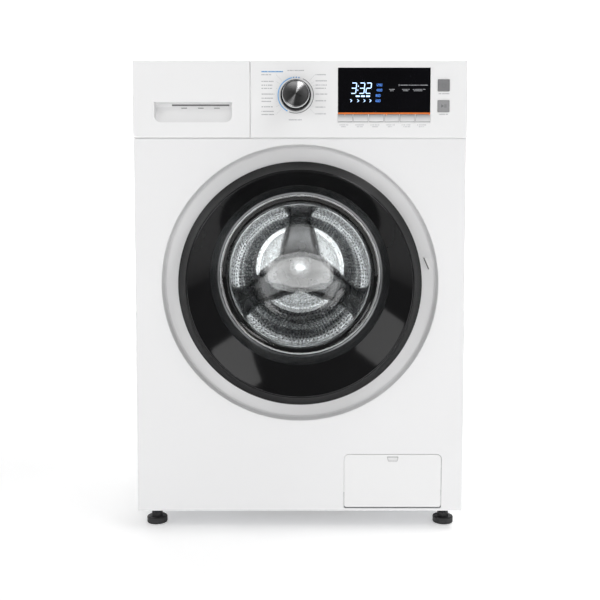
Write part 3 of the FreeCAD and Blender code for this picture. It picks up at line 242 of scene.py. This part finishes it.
M = {
    "enamel": finish("white_enamel", (0.84, 0.84, 0.845), 0.30, tone=0.003, tone_scale=3, grain=0.02,
                     grain_scale=420, spread=0.012),
    "abs": finish("white_moulding", (0.85, 0.85, 0.852), 0.36, tone=0.003, tone_scale=3, grain=0.03,
                  grain_scale=1500, spread=0.03),
    "laminate": finish("white_laminate", (0.83, 0.83, 0.83), 0.42, tone=0.012, grain=0.16, grain_scale=700),
    "zinc": galvanised(),
    "piano": finish("piano_black", (0.0065, 0.0065, 0.007), 0.08, tone=0.2, spread=0.015, specular=0.2),
    "window": finish("display_black", (0.003, 0.003, 0.004), 0.06, tone=0.2, spread=0.02, specular=0.12),
    "bead": finish("bead_black", (0.055, 0.055, 0.057), 0.16, metal=0.9, tone=0.05, spread=0.03),
    "knob_black": finish("knob_black", (0.006, 0.006, 0.007), 0.22, tone=0.1, grain=0.05, grain_scale=2500,
                         specular=0.2),
    "chrome": finish("satin_chrome", (0.20, 0.205, 0.21), 0.22, metal=1.0, tone=0.04, spread=0.05),
    "bright_chrome": finish("bright_chrome", (0.85, 0.86, 0.87), 0.08, metal=1.0, tone=0.02, spread=0.02),
    "grey": finish("grey_moulding", (0.30, 0.31, 0.32), 0.5, tone=0.03, grain=0.15, grain_scale=1600),
    "orange": finish("orange_strip", (0.80, 0.19, 0.03), 0.3, tone=0.03),
    "stainless": finish("drum_steel", (0.60, 0.61, 0.62), 0.24, metal=1.0, tone=0.06, tone_scale=40,
                        stretch=(1, 0.06, 1), spread=0.09, grain=0.10, grain_scale=900),
    # a darker copy of the drum steel: painted shade on the star's arms and hub
    "arm_steel_painted_shade": finish("arm_steel_painted_shade", (0.20, 0.20, 0.205), 0.26, metal=1.0, tone=0.06, spread=0.06, grain=0.1),
    "lifter": finish("lifter_grey", (0.16, 0.165, 0.17), 0.4, tone=0.04, grain=0.1, grain_scale=1200),
    "alloy": finish("cast_alloy", (0.55, 0.55, 0.56), 0.45, metal=0.9, tone=0.06, grain=0.5, grain_scale=500),
    "steel": finish("plated_steel", (0.56, 0.55, 0.52), 0.3, metal=1.0, tone=0.05, grain=0.1,
                    grain_scale=900),
    "dark_paint": finish("motor_paint", (0.03, 0.03, 0.032), 0.45, tone=0.08, grain=0.3, grain_scale=600),
    "tub": finish("tub_plastic", (0.62, 0.62, 0.60), 0.5, tone=0.04, grain=0.2, grain_scale=900),
    "concrete": finish("cast_concrete", (0.38, 0.38, 0.36), 0.9, tone=0.2, tone_scale=60, grain=1.0,
                       grain_scale=260),
    "rubber": finish("black_rubber", (0.022, 0.022, 0.023), 0.62, tone=0.12, grain=0.4, grain_scale=1400),
    "gasket": finish("gasket_rubber", (0.22, 0.23, 0.24), 0.55, tone=0.06, grain=0.25, grain_scale=1100),
    "case": finish("dark_case", (0.03, 0.03, 0.033), 0.5, tone=0.06, grain=0.2, grain_scale=1300),
    "clear": glass("door_glass_clear", (0.93, 0.95, 0.95)),
    "ink": finish("grey_print", (0.16, 0.16, 0.17), 0.5, tone=0.05),
    "pale_ink": finish("pale_print", (0.42, 0.42, 0.44), 0.5, tone=0.05),
    "blue_ink": finish("blue_print", (0.10, 0.33, 0.66), 0.4, tone=0.04),
    "sky_ink": finish("light_blue_print", (0.16, 0.48, 0.90), 0.4, tone=0.04),
    "digit": glow("digit_light", (0.50, 0.70, 1.0), 1.25),
    "small_light": glow("blue_light", (0.08, 0.24, 0.75), 1.0),
    # painted glow: a faint emission that brightens the printed captions
    "white_print": glow("white_print_painted_glow", (0.35, 0.36, 0.38), 0.2),
    "amber": glow("amber_light", (1.0, 0.28, 0.04), 1.4),
    "power_grey": finish("power_key_grey", (0.20, 0.20, 0.205), 0.4, tone=0.04, grain=0.12, grain_scale=1800),
    "start_grey": finish("start_key_grey", (0.29, 0.29, 0.295), 0.4, tone=0.04, grain=0.12, grain_scale=1800),
    "white_part": finish("white_valve_plastic", (0.75, 0.75, 0.74), 0.45, tone=0.03, grain=0.15,
                         grain_scale=1200),
    # greys used for painted shade in slots, along edges and round outlines
    "slot": finish("slot_shadow", (0.16, 0.16, 0.16), 0.7, tone=0.05),
    "shadow": finish("moulded_shadow", (0.30, 0.30, 0.30), 0.7, tone=0.05),
}

NODE_FINISH = {
    "enamel": ["cabinet_sides", "front_panel"],
    "laminate": ["worktop"],
    "abs": ["control_fascia", "drawer_front", "service_flap"],
    "zinc": ["rear_panel", "rear_access_cover", "base_frame", "top_braces"],
    "piano": ["door_outer_trim"],
    "window": ["display_window"],
    "knob_black": ["dial_knob"],
    "chrome": ["door_chrome_ring"],
    "bright_chrome": ["dial_face"],
    "grey": ["door_inner_frame"],
    "orange": ["accent_strip"],
    "stainless": ["drum_front", "drum_wall"],
    "lifter": ["drum_lifters"],
    "alloy": ["drum_spider", "drum_pulley", "hinge_bracket", "door_hinge_arm"],
    "steel": ["drum_bearings", "heater_element", "suspension_springs", "damper_rods", "motor_pulley",
              "panel_screws", "latch_hook", "damper_cylinders"],
    "dark_paint": ["drive_motor"],
    "tub": ["tub_front_half", "tub_rear_half", "dispenser_housing", "drawer_tray", "door_lock"],
    "concrete": ["counterweights"],
    "rubber": ["drive_belt", "tub_hoses", "rear_glands", "foot_front_left", "foot_front_right",
               "foot_rear_left", "foot_rear_right"],
    "gasket": ["door_gasket"],
    "case": ["control_module"],
    "white_part": ["inlet_valve", "drain_pump", "filter_cap"],
    "clear": ["door_glass"],
    "power_grey": ["power_button"],
    "start_grey": ["start_button"],
    "key_silver": [f"function_button_{i}" for i in range(1, 7)],
}


def key_silver():
    """Silver paint with painted shade and highlight: darker along the top of the keys and lighter below, with
    a bright band just above the dark bottom edge.
    """
    material = finish("silver_paint_painted_shade", (0.6, 0.6, 0.61), 0.32, metal=0.55, tone=0.03, grain=0.08,
                      grain_scale=3000)
    tree = material.node_tree
    shader = tree.nodes["Principled BSDF"]
    place = next(n for n in tree.nodes if n.type == "TEX_COORD")
    split = tree.nodes.new("ShaderNodeSeparateXYZ")
    fade = tree.nodes.new("ShaderNodeMapRange")
    fade.inputs["From Min"].default_value = low("function_button_1").z
    fade.inputs["From Max"].default_value = high("function_button_1").z
    ramp = tree.nodes.new("ShaderNodeValToRGB")
    # painted shade at the bottom and top edges, a painted highlight band a tenth of the way up
    set_stops(ramp, ((0.0, 0.28), (0.10, 0.88), (0.5, 0.70), (1.0, 0.32)))
    tree.links.new(place.outputs["Object"], split.inputs["Vector"])
    tree.links.new(split.outputs["Z"], fade.inputs["Value"])
    tree.links.new(fade.outputs["Result"], ramp.inputs["Fac"])
    tree.links.new(ramp.outputs["Color"], shader.inputs["Base Color"])
    return material


def dress_nodes():
    """Gives every CAD node its finish."""
    for key, names in NODE_FINISH.items():
        for name in names:
            mesh = NODES[name].data
            mesh.materials.clear()
            mesh.materials.append(M[key])


# ------------------------------------------------------------------ shapes
def at(depth):
    """World y of a depth in millimetres behind the face of the front panel."""
    return FACE_Y + depth * MM


def add(name, verts, faces, material, body, sharp=35.0, weld=0.0):
    """A mesh piece that rides on one body, its points joined where they are closer than weld."""
    mesh = bpy.data.meshes.new(name)
    mesh.from_pydata(verts, [], faces)
    mesh.validate()
    work = bmesh.new()
    work.from_mesh(mesh)
    if weld:
        bmesh.ops.remove_doubles(work, verts=work.verts, dist=weld)
    bmesh.ops.recalc_face_normals(work, faces=work.faces)
    work.to_mesh(mesh)
    work.free()
    mesh.shade_smooth()
    mesh.set_sharp_from_angle(angle=math.radians(sharp))
    mesh.materials.append(M[material])
    piece = bpy.data.objects.new(name, mesh)
    bpy.context.scene.collection.objects.link(piece)
    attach(piece, body)
    return piece


def lathe(name, profile, centre, material, body, segments=192, sharp=35.0):
    """A ring about a Y axis from a closed loop of (radius, depth), or (radius, depth, own centre z)."""
    verts = []
    for point in profile:
        radius, depth = point[0] * MM, point[1]
        z = point[2] if len(point) == 3 else centre.z
        for i in range(segments):
            turn = 2 * math.pi * i / segments
            verts.append((centre.x + radius * math.sin(turn), at(depth), z + radius * math.cos(turn)))
    faces = []
    count = len(profile)
    for ring in range(count):
        after = (ring + 1) % count
        for i in range(segments):
            j = (i + 1) % segments
            a, b = ring * segments, after * segments
            faces.append((a + i, a + j, b + j, b + i))
    return add(name, verts, faces, material, body, sharp)


def disc(name, profile, centre, material, body, segments=128, sharp=35.0):
    """A solid of revolution whose open loop of (radius, depth) points starts and ends on the axis."""
    inner = profile[1:-1]
    verts = [(centre.x, at(profile[0][1]), centre.z), (centre.x, at(profile[-1][1]), centre.z)]
    for radius, depth in inner:
        for i in range(segments):
            turn = 2 * math.pi * i / segments
            x, z = radius * MM * math.sin(turn), radius * MM * math.cos(turn)
            verts.append((centre.x + x, at(depth), centre.z + z))
    faces = []
    last = 2 + (len(inner) - 1) * segments
    for i in range(segments):
        j = (i + 1) % segments
        faces.append((0, 2 + j, 2 + i))
        faces.append((1, last + i, last + j))
        for ring in range(len(inner) - 1):
            a = 2 + ring * segments
            faces.append((a + i, a + j, a + segments + j, a + segments + i))
    return add(name, verts, faces, material, body, sharp)


def carve(piece, near, far):
    """Cuts a box out of a piece, its corners given as (x, depth, z) in millimetres."""
    x0, d0, z0 = near
    x1, d1, z1 = far
    mesh = bpy.data.meshes.new("cutter")
    verts = [(x * MM, at(d), z * MM) for x in (x0, x1) for d in (d0, d1) for z in (z0, z1)]
    faces = [(0, 1, 3, 2), (4, 6, 7, 5), (0, 4, 5, 1), (2, 3, 7, 6), (0, 2, 6, 4), (1, 5, 7, 3)]
    mesh.from_pydata(verts, [], faces)
    cutter = bpy.data.objects.new("cutter", mesh)
    bpy.context.scene.collection.objects.link(cutter)
    tool = piece.modifiers.new("carve", "BOOLEAN")
    tool.operation = "DIFFERENCE"
    tool.solver = "EXACT"
    tool.object = cutter
    shape = piece.evaluated_get(bpy.context.evaluated_depsgraph_get())
    carved = bpy.data.meshes.new_from_object(shape)
    piece.modifiers.clear()
    piece.data = carved
    bpy.data.objects.remove(cutter)
    piece.data.set_sharp_from_angle(angle=math.radians(22))


def slabs(name, outlines, depth, thick, material, body):
    """Flat raised shapes on a face: each outline is a convex list of (x, z) in millimetres."""
    verts, faces = [], []
    for outline in outlines:
        base = len(verts)
        count = len(outline)
        verts += [(x * MM, at(depth), z * MM) for x, z in outline]
        verts += [(x * MM, at(depth - thick), z * MM) for x, z in outline]
        faces.append(tuple(range(base, base + count)))
        faces.append(tuple(range(base + count, base + 2 * count)))
        for i in range(count):
            j = (i + 1) % count
            faces.append((base + i, base + j, base + count + j, base + count + i))
    return add(name, verts, faces, material, body)


def bar(x0, x1, z0, z1, slant=0.0):
    """Outline of a bar, leaning right by slant times its height."""
    lean = slant * (z1 - z0)
    return [(x0, z0), (x1, z0), (x1 + lean, z1), (x0 + lean, z1)]


def stroke(start, end, width):
    """Outline of a straight line of some width."""
    run = Vector((end[0] - start[0], end[1] - start[1]))
    side = Vector((-run.y, run.x)).normalized() * width / 2
    return [(start[0] + side.x, start[1] + side.y), (end[0] + side.x, end[1] + side.y),
            (end[0] - side.x, end[1] - side.y), (start[0] - side.x, start[1] - side.y)]


def arc(centre, radius, width, start, end, steps=40):
    """Outlines of an arc in short strokes, angles clockwise from the top in degrees."""
    points = []
    for i in range(steps + 1):
        turn = math.radians(start + (end - start) * i / steps)
        points.append((math.sin(turn), math.cos(turn)))
    outlines = []
    for (s0, c0), (s1, c1) in zip(points, points[1:]):
        outlines.append([(centre[0] + r * s, centre[1] + r * c) for r, s, c in
                         ((radius - width / 2, s0, c0), (radius + width / 2, s0, c0),
                          (radius + width / 2, s1, c1), (radius - width / 2, s1, c1))])
    return outlines


def dot(x, z, radius, sides=16):
    """Outline of a round dot."""
    turns = [2 * math.pi * i / sides for i in range(sides)]
    return [(x + radius * math.sin(turn), z + radius * math.cos(turn)) for turn in turns]


def words(x, z, width, height, rng):
    """A label reduced to a few unreadable marks, its left edge at x."""
    outlines = []
    place = x
    while place < x + width - 1.0:
        step = min(rng.uniform(1.2, 3.2), x + width - place)
        outlines.append(bar(place, place + step, z - height / 2, z + height / 2))
        place += step + rng.choice((0.35, 0.35, 0.35, 1.3))
    return outlines


SEGMENTS = {"0": "abcdef", "1": "bc", "2": "abged", "3": "abgcd", "6": "afgedc", "8": "abcdefg"}


def digits(text, x, z, height, pitch, width, slant=0.1):
    """Seven-segment numerals, base line at z."""
    outlines = []
    wide = height * 0.46
    half = height / 2
    ends = {"a": ((0, height), (wide, height)), "b": ((wide, height), (wide, half)),
            "c": ((wide, half), (wide, 0)), "d": ((0, 0), (wide, 0)), "e": ((0, half), (0, 0)),
            "f": ((0, height), (0, half)), "g": ((0, half), (wide, half))}
    for number, letter in enumerate(text):
        left = x + number * pitch
        for name in SEGMENTS[letter]:
            (x0, z0), (x1, z1) = ends[name]
            gap = width * 0.35
            run = Vector((x1 - x0, z1 - z0)).normalized() * gap
            start = (left + x0 + run.x + slant * (z0 + run.y), z + z0 + run.y)
            end = (left + x1 - run.x + slant * (z1 - run.y), z + z1 - run.y)
            outlines.append(stroke(start, end, width))
    return outlines


# ------------------------------------------------------------------ door
HINGE_SLOTS = ((412, 426), (480, 494))


def door_pieces():
    """Black funnel with its bead, chrome ring and glass bowl, finely turned."""
    door, axis = DOOR.z, AXIS.z
    trim = [(218.5, 5.6, door), (218.5, -8.6, door), (218.2, -9.6, door), (217.2, -10.8, door),
            (203.4, -26.6, door), (202.6, -28.2, door), (201.8, -28.9, door), (201.0, -28.6, door),
            (200.6, -27.2, door), (199.6, -27.2, door), (199.2, -28.4, door), (198.4, -27.6, door),
            (162.6, 0.9, axis), (162.5, 1.5, axis), (163.6, 2.4, axis),
            (199.6, -24.4, door), (201.4, -24.4, door), (215.9, -9.0, door), (215.9, 5.6, door)]
    rim = lathe("door_ring", trim, DOOR, "piano", "door", 256, 22)
    for slot_bottom, slot_top in HINGE_SLOTS:
        carve(rim, (-225, -9, slot_bottom), (-205, 8, slot_top))
    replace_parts(rim, "door_outer_trim")
    bead = [(200.7, -27.3), (200.7, -28.6), (200.3, -28.9), (199.7, -28.9), (199.4, -28.5), (199.4, -27.3)]
    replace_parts(lathe("ring_bead", bead, DOOR, "bead", "door", 256, 40), "door_outer_trim")
    ring = [(162.6, 1.6), (166.5, 1.6), (166.5, 10), (152.5, 23.5), (146.6, 23.5), (146.5, 22.6),
            (147.2, 20.6), (150.6, 19.4), (152.0, 17.8), (161.9, 3.0)]
    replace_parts(lathe("window_ring", ring, AXIS, "chrome", "door", 256, 24), "door_chrome_ring")
    bowl = [(0, 152), (30, 151.6), (60, 149.8), (82, 146.4), (96, 140.8), (104, 134), (110, 124), (138, 45),
            (141, 38), (144, 32), (145.3, 28.9), (146.5, 28), (151, 28), (151, 24.1), (143.6, 24.1),
            (141, 24.6), (136, 28), (128, 43), (112, 92), (103.5, 120), (98.5, 129), (91, 135.6), (79, 140.6),
            (60, 144.4), (30, 146.6),
            (0, 147.2)]
    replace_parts(disc("glass_bowl", bowl, AXIS, "clear", "door", 192, 60), "door_glass")


def drum_pieces():
    """Perforated wall and the dished and starred back plate with its punched holes."""
    radius = (high("drum_wall").x - low("drum_wall").x) / 2
    front, back = low("drum_wall").y, high("drum_wall").y
    around, along = 132, 26
    verts, faces = [], []
    hole = 1.9 * MM

    def spot(u, v, r):
        turn = u / radius
        verts.append((AXIS.x + r * math.sin(turn), v, AXIS.z + r * math.cos(turn)))
        return len(verts) - 1

    width = 2 * math.pi * radius / around
    depth = (back - front - 2 * MM) / along
    for skin in (radius - 1.2 * MM, radius - 0.05 * MM):
        for row in range(along):
            for column in range(around):
                u0, v0 = column * width, front + row * depth
                frame_points = []
                hole_points = []
                middle_u, middle_v = u0 + width / 2, v0 + depth / 2
                for du, dv in ((0, 0), (0.5, 0), (1, 0), (1, 0.5), (1, 1), (0.5, 1), (0, 1), (0, 0.5)):
                    frame_points.append(spot(u0 + du * width, v0 + dv * depth, skin))
                    aim = Vector((du - 0.5, dv - 0.5)).normalized() * hole
                    hole_points.append(spot(middle_u + aim.x, middle_v + aim.y, skin))
                for i in range(8):
                    j = (i + 1) % 8
                    faces.append((frame_points[i], frame_points[j], hole_points[j], hole_points[i]))
    half = len(verts) // 2
    for cell in range(around * along):
        for i in range(8):
            a = cell * 16 + 2 * i + 1
            b = cell * 16 + 2 * ((i + 1) % 8) + 1
            faces.append((a, b, half + b, half + a))
    wall = add("perforated_wall", verts, faces, "stainless", "drum", weld=0.02 * MM)
    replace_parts(wall, "drum_wall")
    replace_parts(star_plate(radius, back), "drum_wall")
    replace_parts(plate_holes(back), "drum_wall")


def star_plate(radius, back):
    """The back plate: a raised hub, three arms that meet the lifters and lower fields between them."""
    rings, around = 84, 360
    verts, faces = [], []
    for side in (0, 1):
        for ring in range(rings + 1):
            share = ring / rings
            for i in range(around):
                turn = 2 * math.pi * i / around
                y = back - plate_lift(share * radius / MM, turn) * MM * (1 - side)
                x, z = radius * share * math.sin(turn), radius * share * math.cos(turn)
                verts.append((AXIS.x + x, y, AXIS.z + z))
    count = (rings + 1) * around
    for side in (0, 1):
        for ring in range(rings):
            for i in range(around):
                j = (i + 1) % around
                a = side * count + ring * around
                faces.append((a + i, a + j, a + around + j, a + around + i))
    edge = rings * around
    for i in range(around):
        j = (i + 1) % around
        faces.append((edge + i, edge + j, count + edge + j, count + edge + i))
    plate = add("star_plate", verts, faces, "stainless", "drum", 60)
    # faces on the arms and on the hub outside its bright centre take the darker steel, painted shade
    plate.data.materials.append(M["arm_steel_painted_shade"])
    for face in plate.data.polygons:
        x, z = (face.center.x - AXIS.x) / MM, (face.center.z - AXIS.z) / MM
        if math.hypot(x, z) > 22 and arm_share(math.hypot(x, z), math.atan2(x, z)) > 0.5:
            face.material_index = 1
    return plate


def arm_share(r, turn):
    """One on an arm of the star, zero between the arms, with a soft step."""
    best = 0.0
    for k in range(3):
        away = turn - k * 2 * math.pi / 3
        if math.cos(away) > 0:
            half = 27 + 26 * math.exp(-((r / 62) ** 2)) + 5 * (r / 245)
            best = max(best, 1 / (1 + math.exp((abs(r * math.sin(away)) - half) / 1.6)))
    return best


def plate_lift(r, turn):
    """How far the back plate stands forward at a radius and angle, in millimetres."""
    dome = 9 * math.exp(-((r / 36) ** 2))
    bowl = 5 * math.exp(-((r - 200) / 26) ** 2) if r < 238 else 0
    ridge = 2.2 * math.exp(-((r - 112) / 7) ** 2)
    rim = 1 if r < 236 else 0
    return 2 + rim * (9 * arm_share(r, turn) + dome + (bowl + ridge) * (1 - arm_share(r, turn)))


def plate_holes(back):
    """The punched holes of the fields between the arms, each a shallow dark dimple: painted shade in place of
    an open hole.
    """
    verts, faces = [], []
    for ring, r in enumerate(range(122, 232, 9)):
        count = int(2 * math.pi * r / 9.4)
        for i in range(count):
            turn = 2 * math.pi * (i + 0.5 * (ring % 2)) / count
            if arm_share(r, turn) > 0.02 or arm_share(r - 4, turn) > 0.02:
                continue
            base = len(verts)
            for j in range(10):
                spin = 2 * math.pi * j / 10
                hx, hz = r * math.sin(turn) + 2.1 * math.cos(spin), r * math.cos(turn) + 2.1 * math.sin(spin)
                lift = plate_lift(math.hypot(hx, hz), math.atan2(hx, hz))
                for depth in (lift + 0.25, lift - 0.8):
                    verts.append((AXIS.x + hx * MM, back - depth * MM, AXIS.z + hz * MM))
            faces.append([base + 2 * j for j in range(10)])
            faces.append([base + 2 * j + 1 for j in range(10)])
            for j in range(10):
                a, b = base + 2 * j, base + 2 * ((j + 1) % 10)
                faces.append((a, b, b + 1, a + 1))
    return add("plate_holes", verts, faces, "case", "drum", 30)


def gasket_piece():
    """The bellows: the lip on the panel, the folds and the lip on the tub."""
    fold = [(167.4, 16.6), (169.6, 16.6), (169.6, 24), (168.4, 27.6), (166, 30), (165.6, 36), (167.4, 41),
            (165.8, 46), (166.2, 51), (170.6, 61.2), (168.0, 61.2), (163.6, 51.4), (163.2, 46), (164.8, 41),
            (163, 36), (150.8, 41.8), (148.0, 39.4), (158.4, 34.6), (158.8, 28.4), (162.5, 24.5), (166.6, 22)]
    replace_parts(lathe("bellows", fold, AXIS, "gasket", "cabinet", 192, 50), "door_gasket")


# ------------------------------------------------------------------ panel
def knob_pieces():
    """The black knob, its chrome collar and its spun face with a small pointer."""
    centre = middle("dial_knob")
    body = [(0, -5.2), (26.4, -5.2), (27, -5.8), (27, -16.5), (26.6, -17.4), (25.4, -18), (0, -18)]
    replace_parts(disc("knob_body", body, centre, "knob_black", "dial", 160, 30), "dial_knob")
    collar = [(20, -18.1), (23.9, -18.1), (24.2, -18.8), (24.0, -24), (23.5, -29.2), (23.0, -30), (20, -30)]
    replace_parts(lathe("knob_collar", collar, centre, "bright_chrome", "dial", 160, 30), "dial_knob")
    face = [(0, -29.9), (22.8, -29.9), (23, -30.6), (22.4, -31.6), (21.4, -32), (20.6, -31.7), (0, -31.2)]
    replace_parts(disc("knob_face", face, centre, "spun", "dial", 160, 20), "dial_face")
    x, z = centre.x / MM, centre.z / MM
    slabs("knob_pointer", [bar(x - 0.5, x + 0.5, z + 16.5, z + 20)], -31.2, 0.45, "ink", "dial")


def leader(label, centre):
    """A thin line from a label towards the ring round the knob."""
    away = Vector((label[0] - centre[0], label[1] - centre[1]))
    end = away.normalized() * min(34.5, away.length - 1)
    return stroke(label, (centre[0] + end.x, centre[1] + end.y), 0.22)


def dial_prints(rng):
    """The ring round the knob, its leader lines and the small labels."""
    centre = middle("dial_knob")
    x, z = centre.x / MM, centre.z / MM + 1.4
    depth = FASCIA_DEPTH
    slabs("dial_arc_blue", arc((x, z), 31.4, 1.7, 208, 348), depth, 0.12, "sky_ink", "cabinet")
    slabs("dial_arc_grey", arc((x, z), 31.4, 1.1, 24, 202), depth, 0.12, "ink", "cabinet")
    dots = [dot(x + 31.4 * math.sin(t), z + 31.4 * math.cos(t), 1.3) for t in (-0.12, 0.03, 0.18)]
    slabs("dial_dots", dots, depth, 0.14, "blue_ink", "cabinet")
    left, right, lines = [], [], []
    for i, label_z in enumerate((824.2, 812.6, 806.0, 800.4, 790.4, 783.2, 777.6, 768.1, 760.1, 754.6)):
        left += words(-68.2, label_z, rng.uniform(17, 25), 1.5, rng)
        if i in (0, 1, 3, 4, 6, 7, 9):
            lines.append(leader((-42.5, label_z), (x, z)))
    for label_z in (824.2, 813.5, 806.2, 800.6, 790.4, 778.6, 767.6, 755.7):
        right += words(27.5, label_z, rng.uniform(18, 26), 1.5, rng)
        lines.append(leader((26.5, label_z), (x, z)))
    right += words(-22, 831.7, 29, 1.5, rng) + words(-20, 745.2, 23, 1.5, rng)
    slabs("dial_labels", left + right, depth, 0.1, "pale_ink", "cabinet")
    slabs("dial_title", words(-68.2, 829.6, 38, 2.1, rng), depth, 0.1, "blue_ink", "cabinet")
    slabs("dial_leaders", lines, depth, 0.08, "pale_ink", "cabinet")


def display_prints(rng):
    """The lit clock, its symbols, the spin column and the small white captions."""
    depth = DISPLAY_DEPTH
    time = digits("3", 90.3, 791.6, 18.2, 0, 1.5) + digits("32", 104.8, 791.6, 18.2, 11.8, 1.5)
    time += [bar(101.6, 103.2, 796.4, 798.2), bar(102.4, 104.0, 803.4, 805.2)]
    time += [bar(x, x + 7.0, 785.3, 787.9) for x in (98.8, 107.9, 117.0)]
    for x in (90.7, 103.0, 114.2, 124.7):
        time.append(stroke((x - 1.5, 781.2), (x + 1.5, 778.8), 1.0))
        time.append(stroke((x + 1.5, 778.8), (x - 1.5, 776.4), 1.0))
    slabs("clock_digits", time, depth, 0.15, "digit", "cabinet")
    speeds = []
    for text, z in (("1200", 804.4), ("1000", 795.4), ("800", 785.8), ("600", 776.6)):
        speeds += digits(text, 134.4, z, 3.8, 3.0, 0.6, 0.0)
    slabs("speed_column", speeds, depth, 0.12, "small_light", "cabinet")
    captions = words(178, 806, 48, 1.1, rng) + arc((175.6, 806), 1.2, 0.4, 0, 360, 12)
    for x, width in ((158, 10), (181, 13), (200, 22)):
        captions += words(x, 798.6, width, 0.9, rng) + words(x + 1.5, 796.2, width * 0.7, 0.9, rng)
    # the captions carry a painted glow
    slabs("display_captions", captions, depth, 0.1, "white_print", "cabinet")


def key_prints(rng):
    """Captions under the keys, the small lights in them and the signs on the square keys."""
    captions = []
    for number in range(1, 7):
        centre = middle(f"function_button_{number}")
        x, z = centre.x / MM, low(f"function_button_{number}").z / MM
        captions += words(x - 10, z - 5.2, rng.uniform(15, 20), 1.1, rng)
        captions += words(x - 7, z - 8.4, rng.uniform(8, 13), 1.0, rng)
        if number in (1, 4, 6):
            shift = {1: -0.6, 4: -9.5, 6: 11.0}[number]
            lamp = bar(x + shift - 0.6, x + shift + 0.6, z + 12.0, z + 12.8)
            slabs(f"key_light_{number}", [lamp], KEY_DEPTH, 0.15, "amber", f"key_{number}")
    slabs("key_captions", captions, FASCIA_DEPTH, 0.1, "pale_ink", "cabinet")
    power, start = middle("power_button"), middle("start_button")
    x, z = power.x / MM, power.z / MM
    sign = arc((x, z - 0.4), 3.4, 0.8, 35, 325) + [bar(x - 0.4, x + 0.4, z + 0.4, z + 4.2)]
    slabs("power_sign", sign, KEY_DEPTH, 0.12, "ink", "power_key")
    x, z = start.x / MM, start.z / MM
    sign = [[(x - 4.4, z - 3), (x - 4.4, z + 3), (x + 0.4, z)], bar(x + 1.6, x + 2.6, z - 3, z + 3),
            bar(x + 3.6, x + 4.6, z - 3, z + 3)]
    slabs("start_sign", sign, KEY_DEPTH, 0.12, "ink", "start_key")
    names = words(x - 9, 791.0, 19, 1.5, rng) + words(x - 8, 755.0, 17, 1.5, rng)
    slabs("square_key_captions", names, FASCIA_DEPTH, 0.1, "pale_ink", "cabinet")


def small_details():
    """The drawer's finger slot and ribs, the door-pull tab in the dish and the flap's finger notch, with
    painted shade in the slot, on the ribs, along the tab's edge and round the notch.
    """
    # a dark strip on the slot's back wall: painted shade
    slabs("drawer_slot", [bar(-230, -127, 772.4, 775.2)], 14.9, 0.2, "slot", "drawer")
    # the ribs are grey: painted shade
    ribs = [bar(x - 5, x + 5, 767.6, 769.0) for x in (-208, -178, -149)]
    slabs("drawer_ribs", ribs, 13.4, 0.6, "shadow", "drawer")
    slabs("pull_tab", [[(226, 500), (231, 500), (240, 480), (235, 479)]], 18.1, 7, "abs", "cabinet")
    # a grey line along the tab's side: painted shade
    slabs("pull_tab_edge", [stroke((225.2, 499.5), (234.2, 479), 1.3)], 18.0, 5, "shadow", "cabinet")
    slabs("fascia_lip", [bar(-296, 296, 712.85, 713.4)], 1.6, 1.0, "abs", "cabinet")
    slabs("fascia_side_lip", [bar(-88.6, -88.1, 714, 827)], -1.6, 1.0, "abs", "cabinet")
    flap = middle("service_flap").x / MM
    depth = (low("service_flap").y - FACE_Y) / MM
    # grey outline round the notch: painted shade
    notch = [stroke((flap - 10, 136), (flap + 10, 136), 1.1),
             stroke((flap - 10, 136), (flap - 8, 128.4), 0.6),
             stroke((flap + 10, 136), (flap + 8, 128.4), 0.6),
             stroke((flap - 8, 128.4), (flap + 8, 128.4), 0.5)]
    slabs("flap_notch", notch, depth, 0.06, "shadow", "flap")


def spun_metal():
    """Turned metal with a pair of painted highlights, bright sectors drawn from the centre by a radial ramp.
    """
    material = finish("spun_face", (0.2, 0.2, 0.2), 0.26, metal=1.0, tone=0.03, spread=0.03)
    tree = material.node_tree
    shader = tree.nodes["Principled BSDF"]
    place = next(n for n in tree.nodes if n.type == "TEX_COORD")
    centred = tree.nodes.new("ShaderNodeMapping")
    centred.vector_type = "TEXTURE"
    centred.inputs["Location"].default_value = middle("dial_face")
    centred.inputs["Rotation"].default_value = (math.pi / 2, math.radians(28), 0)
    highlight_fan = tree.nodes.new("ShaderNodeTexGradient")
    highlight_fan.gradient_type = "RADIAL"
    ramp = tree.nodes.new("ShaderNodeValToRGB")
    # painted highlight: the ramp brightens two opposite sectors of the base colour
    stops = ((0.0, 0.07), (0.19, 0.09), (0.24, 0.6), (0.265, 0.7), (0.31, 0.1), (0.5, 0.05), (0.69, 0.09),
             (0.74, 0.6), (0.765, 0.7), (0.81, 0.1), (1.0, 0.07))
    set_stops(ramp, stops)
    tree.links.new(place.outputs["Object"], centred.inputs["Vector"])
    tree.links.new(centred.outputs["Vector"], highlight_fan.inputs["Vector"])
    tree.links.new(highlight_fan.outputs["Fac"], ramp.inputs["Fac"])
    tree.links.new(ramp.outputs["Color"], shader.inputs["Base Color"])
    rings = tree.nodes.new("ShaderNodeTexWave")
    rings.wave_type = "RINGS"
    rings.rings_direction = "Z"
    rings.inputs["Scale"].default_value = 260
    bump = tree.nodes.new("ShaderNodeBump")
    bump.inputs["Strength"].default_value = 0.08
    bump.inputs["Distance"].default_value = 0.0001
    tree.links.new(centred.outputs["Vector"], rings.inputs["Vector"])
    tree.links.new(rings.outputs["Fac"], bump.inputs["Height"])
    tree.links.new(bump.outputs["Normal"], shader.inputs["Normal"])
    return material


add_camera()
add_studio()
M["key_silver"] = key_silver()
M["spun"] = spun_metal()
dress_nodes()
door_pieces()
drum_pieces()
gasket_piece()
knob_pieces()
dial_prints(random.Random(3))
display_prints(random.Random(5))
key_prints(random.Random(7))
small_details()
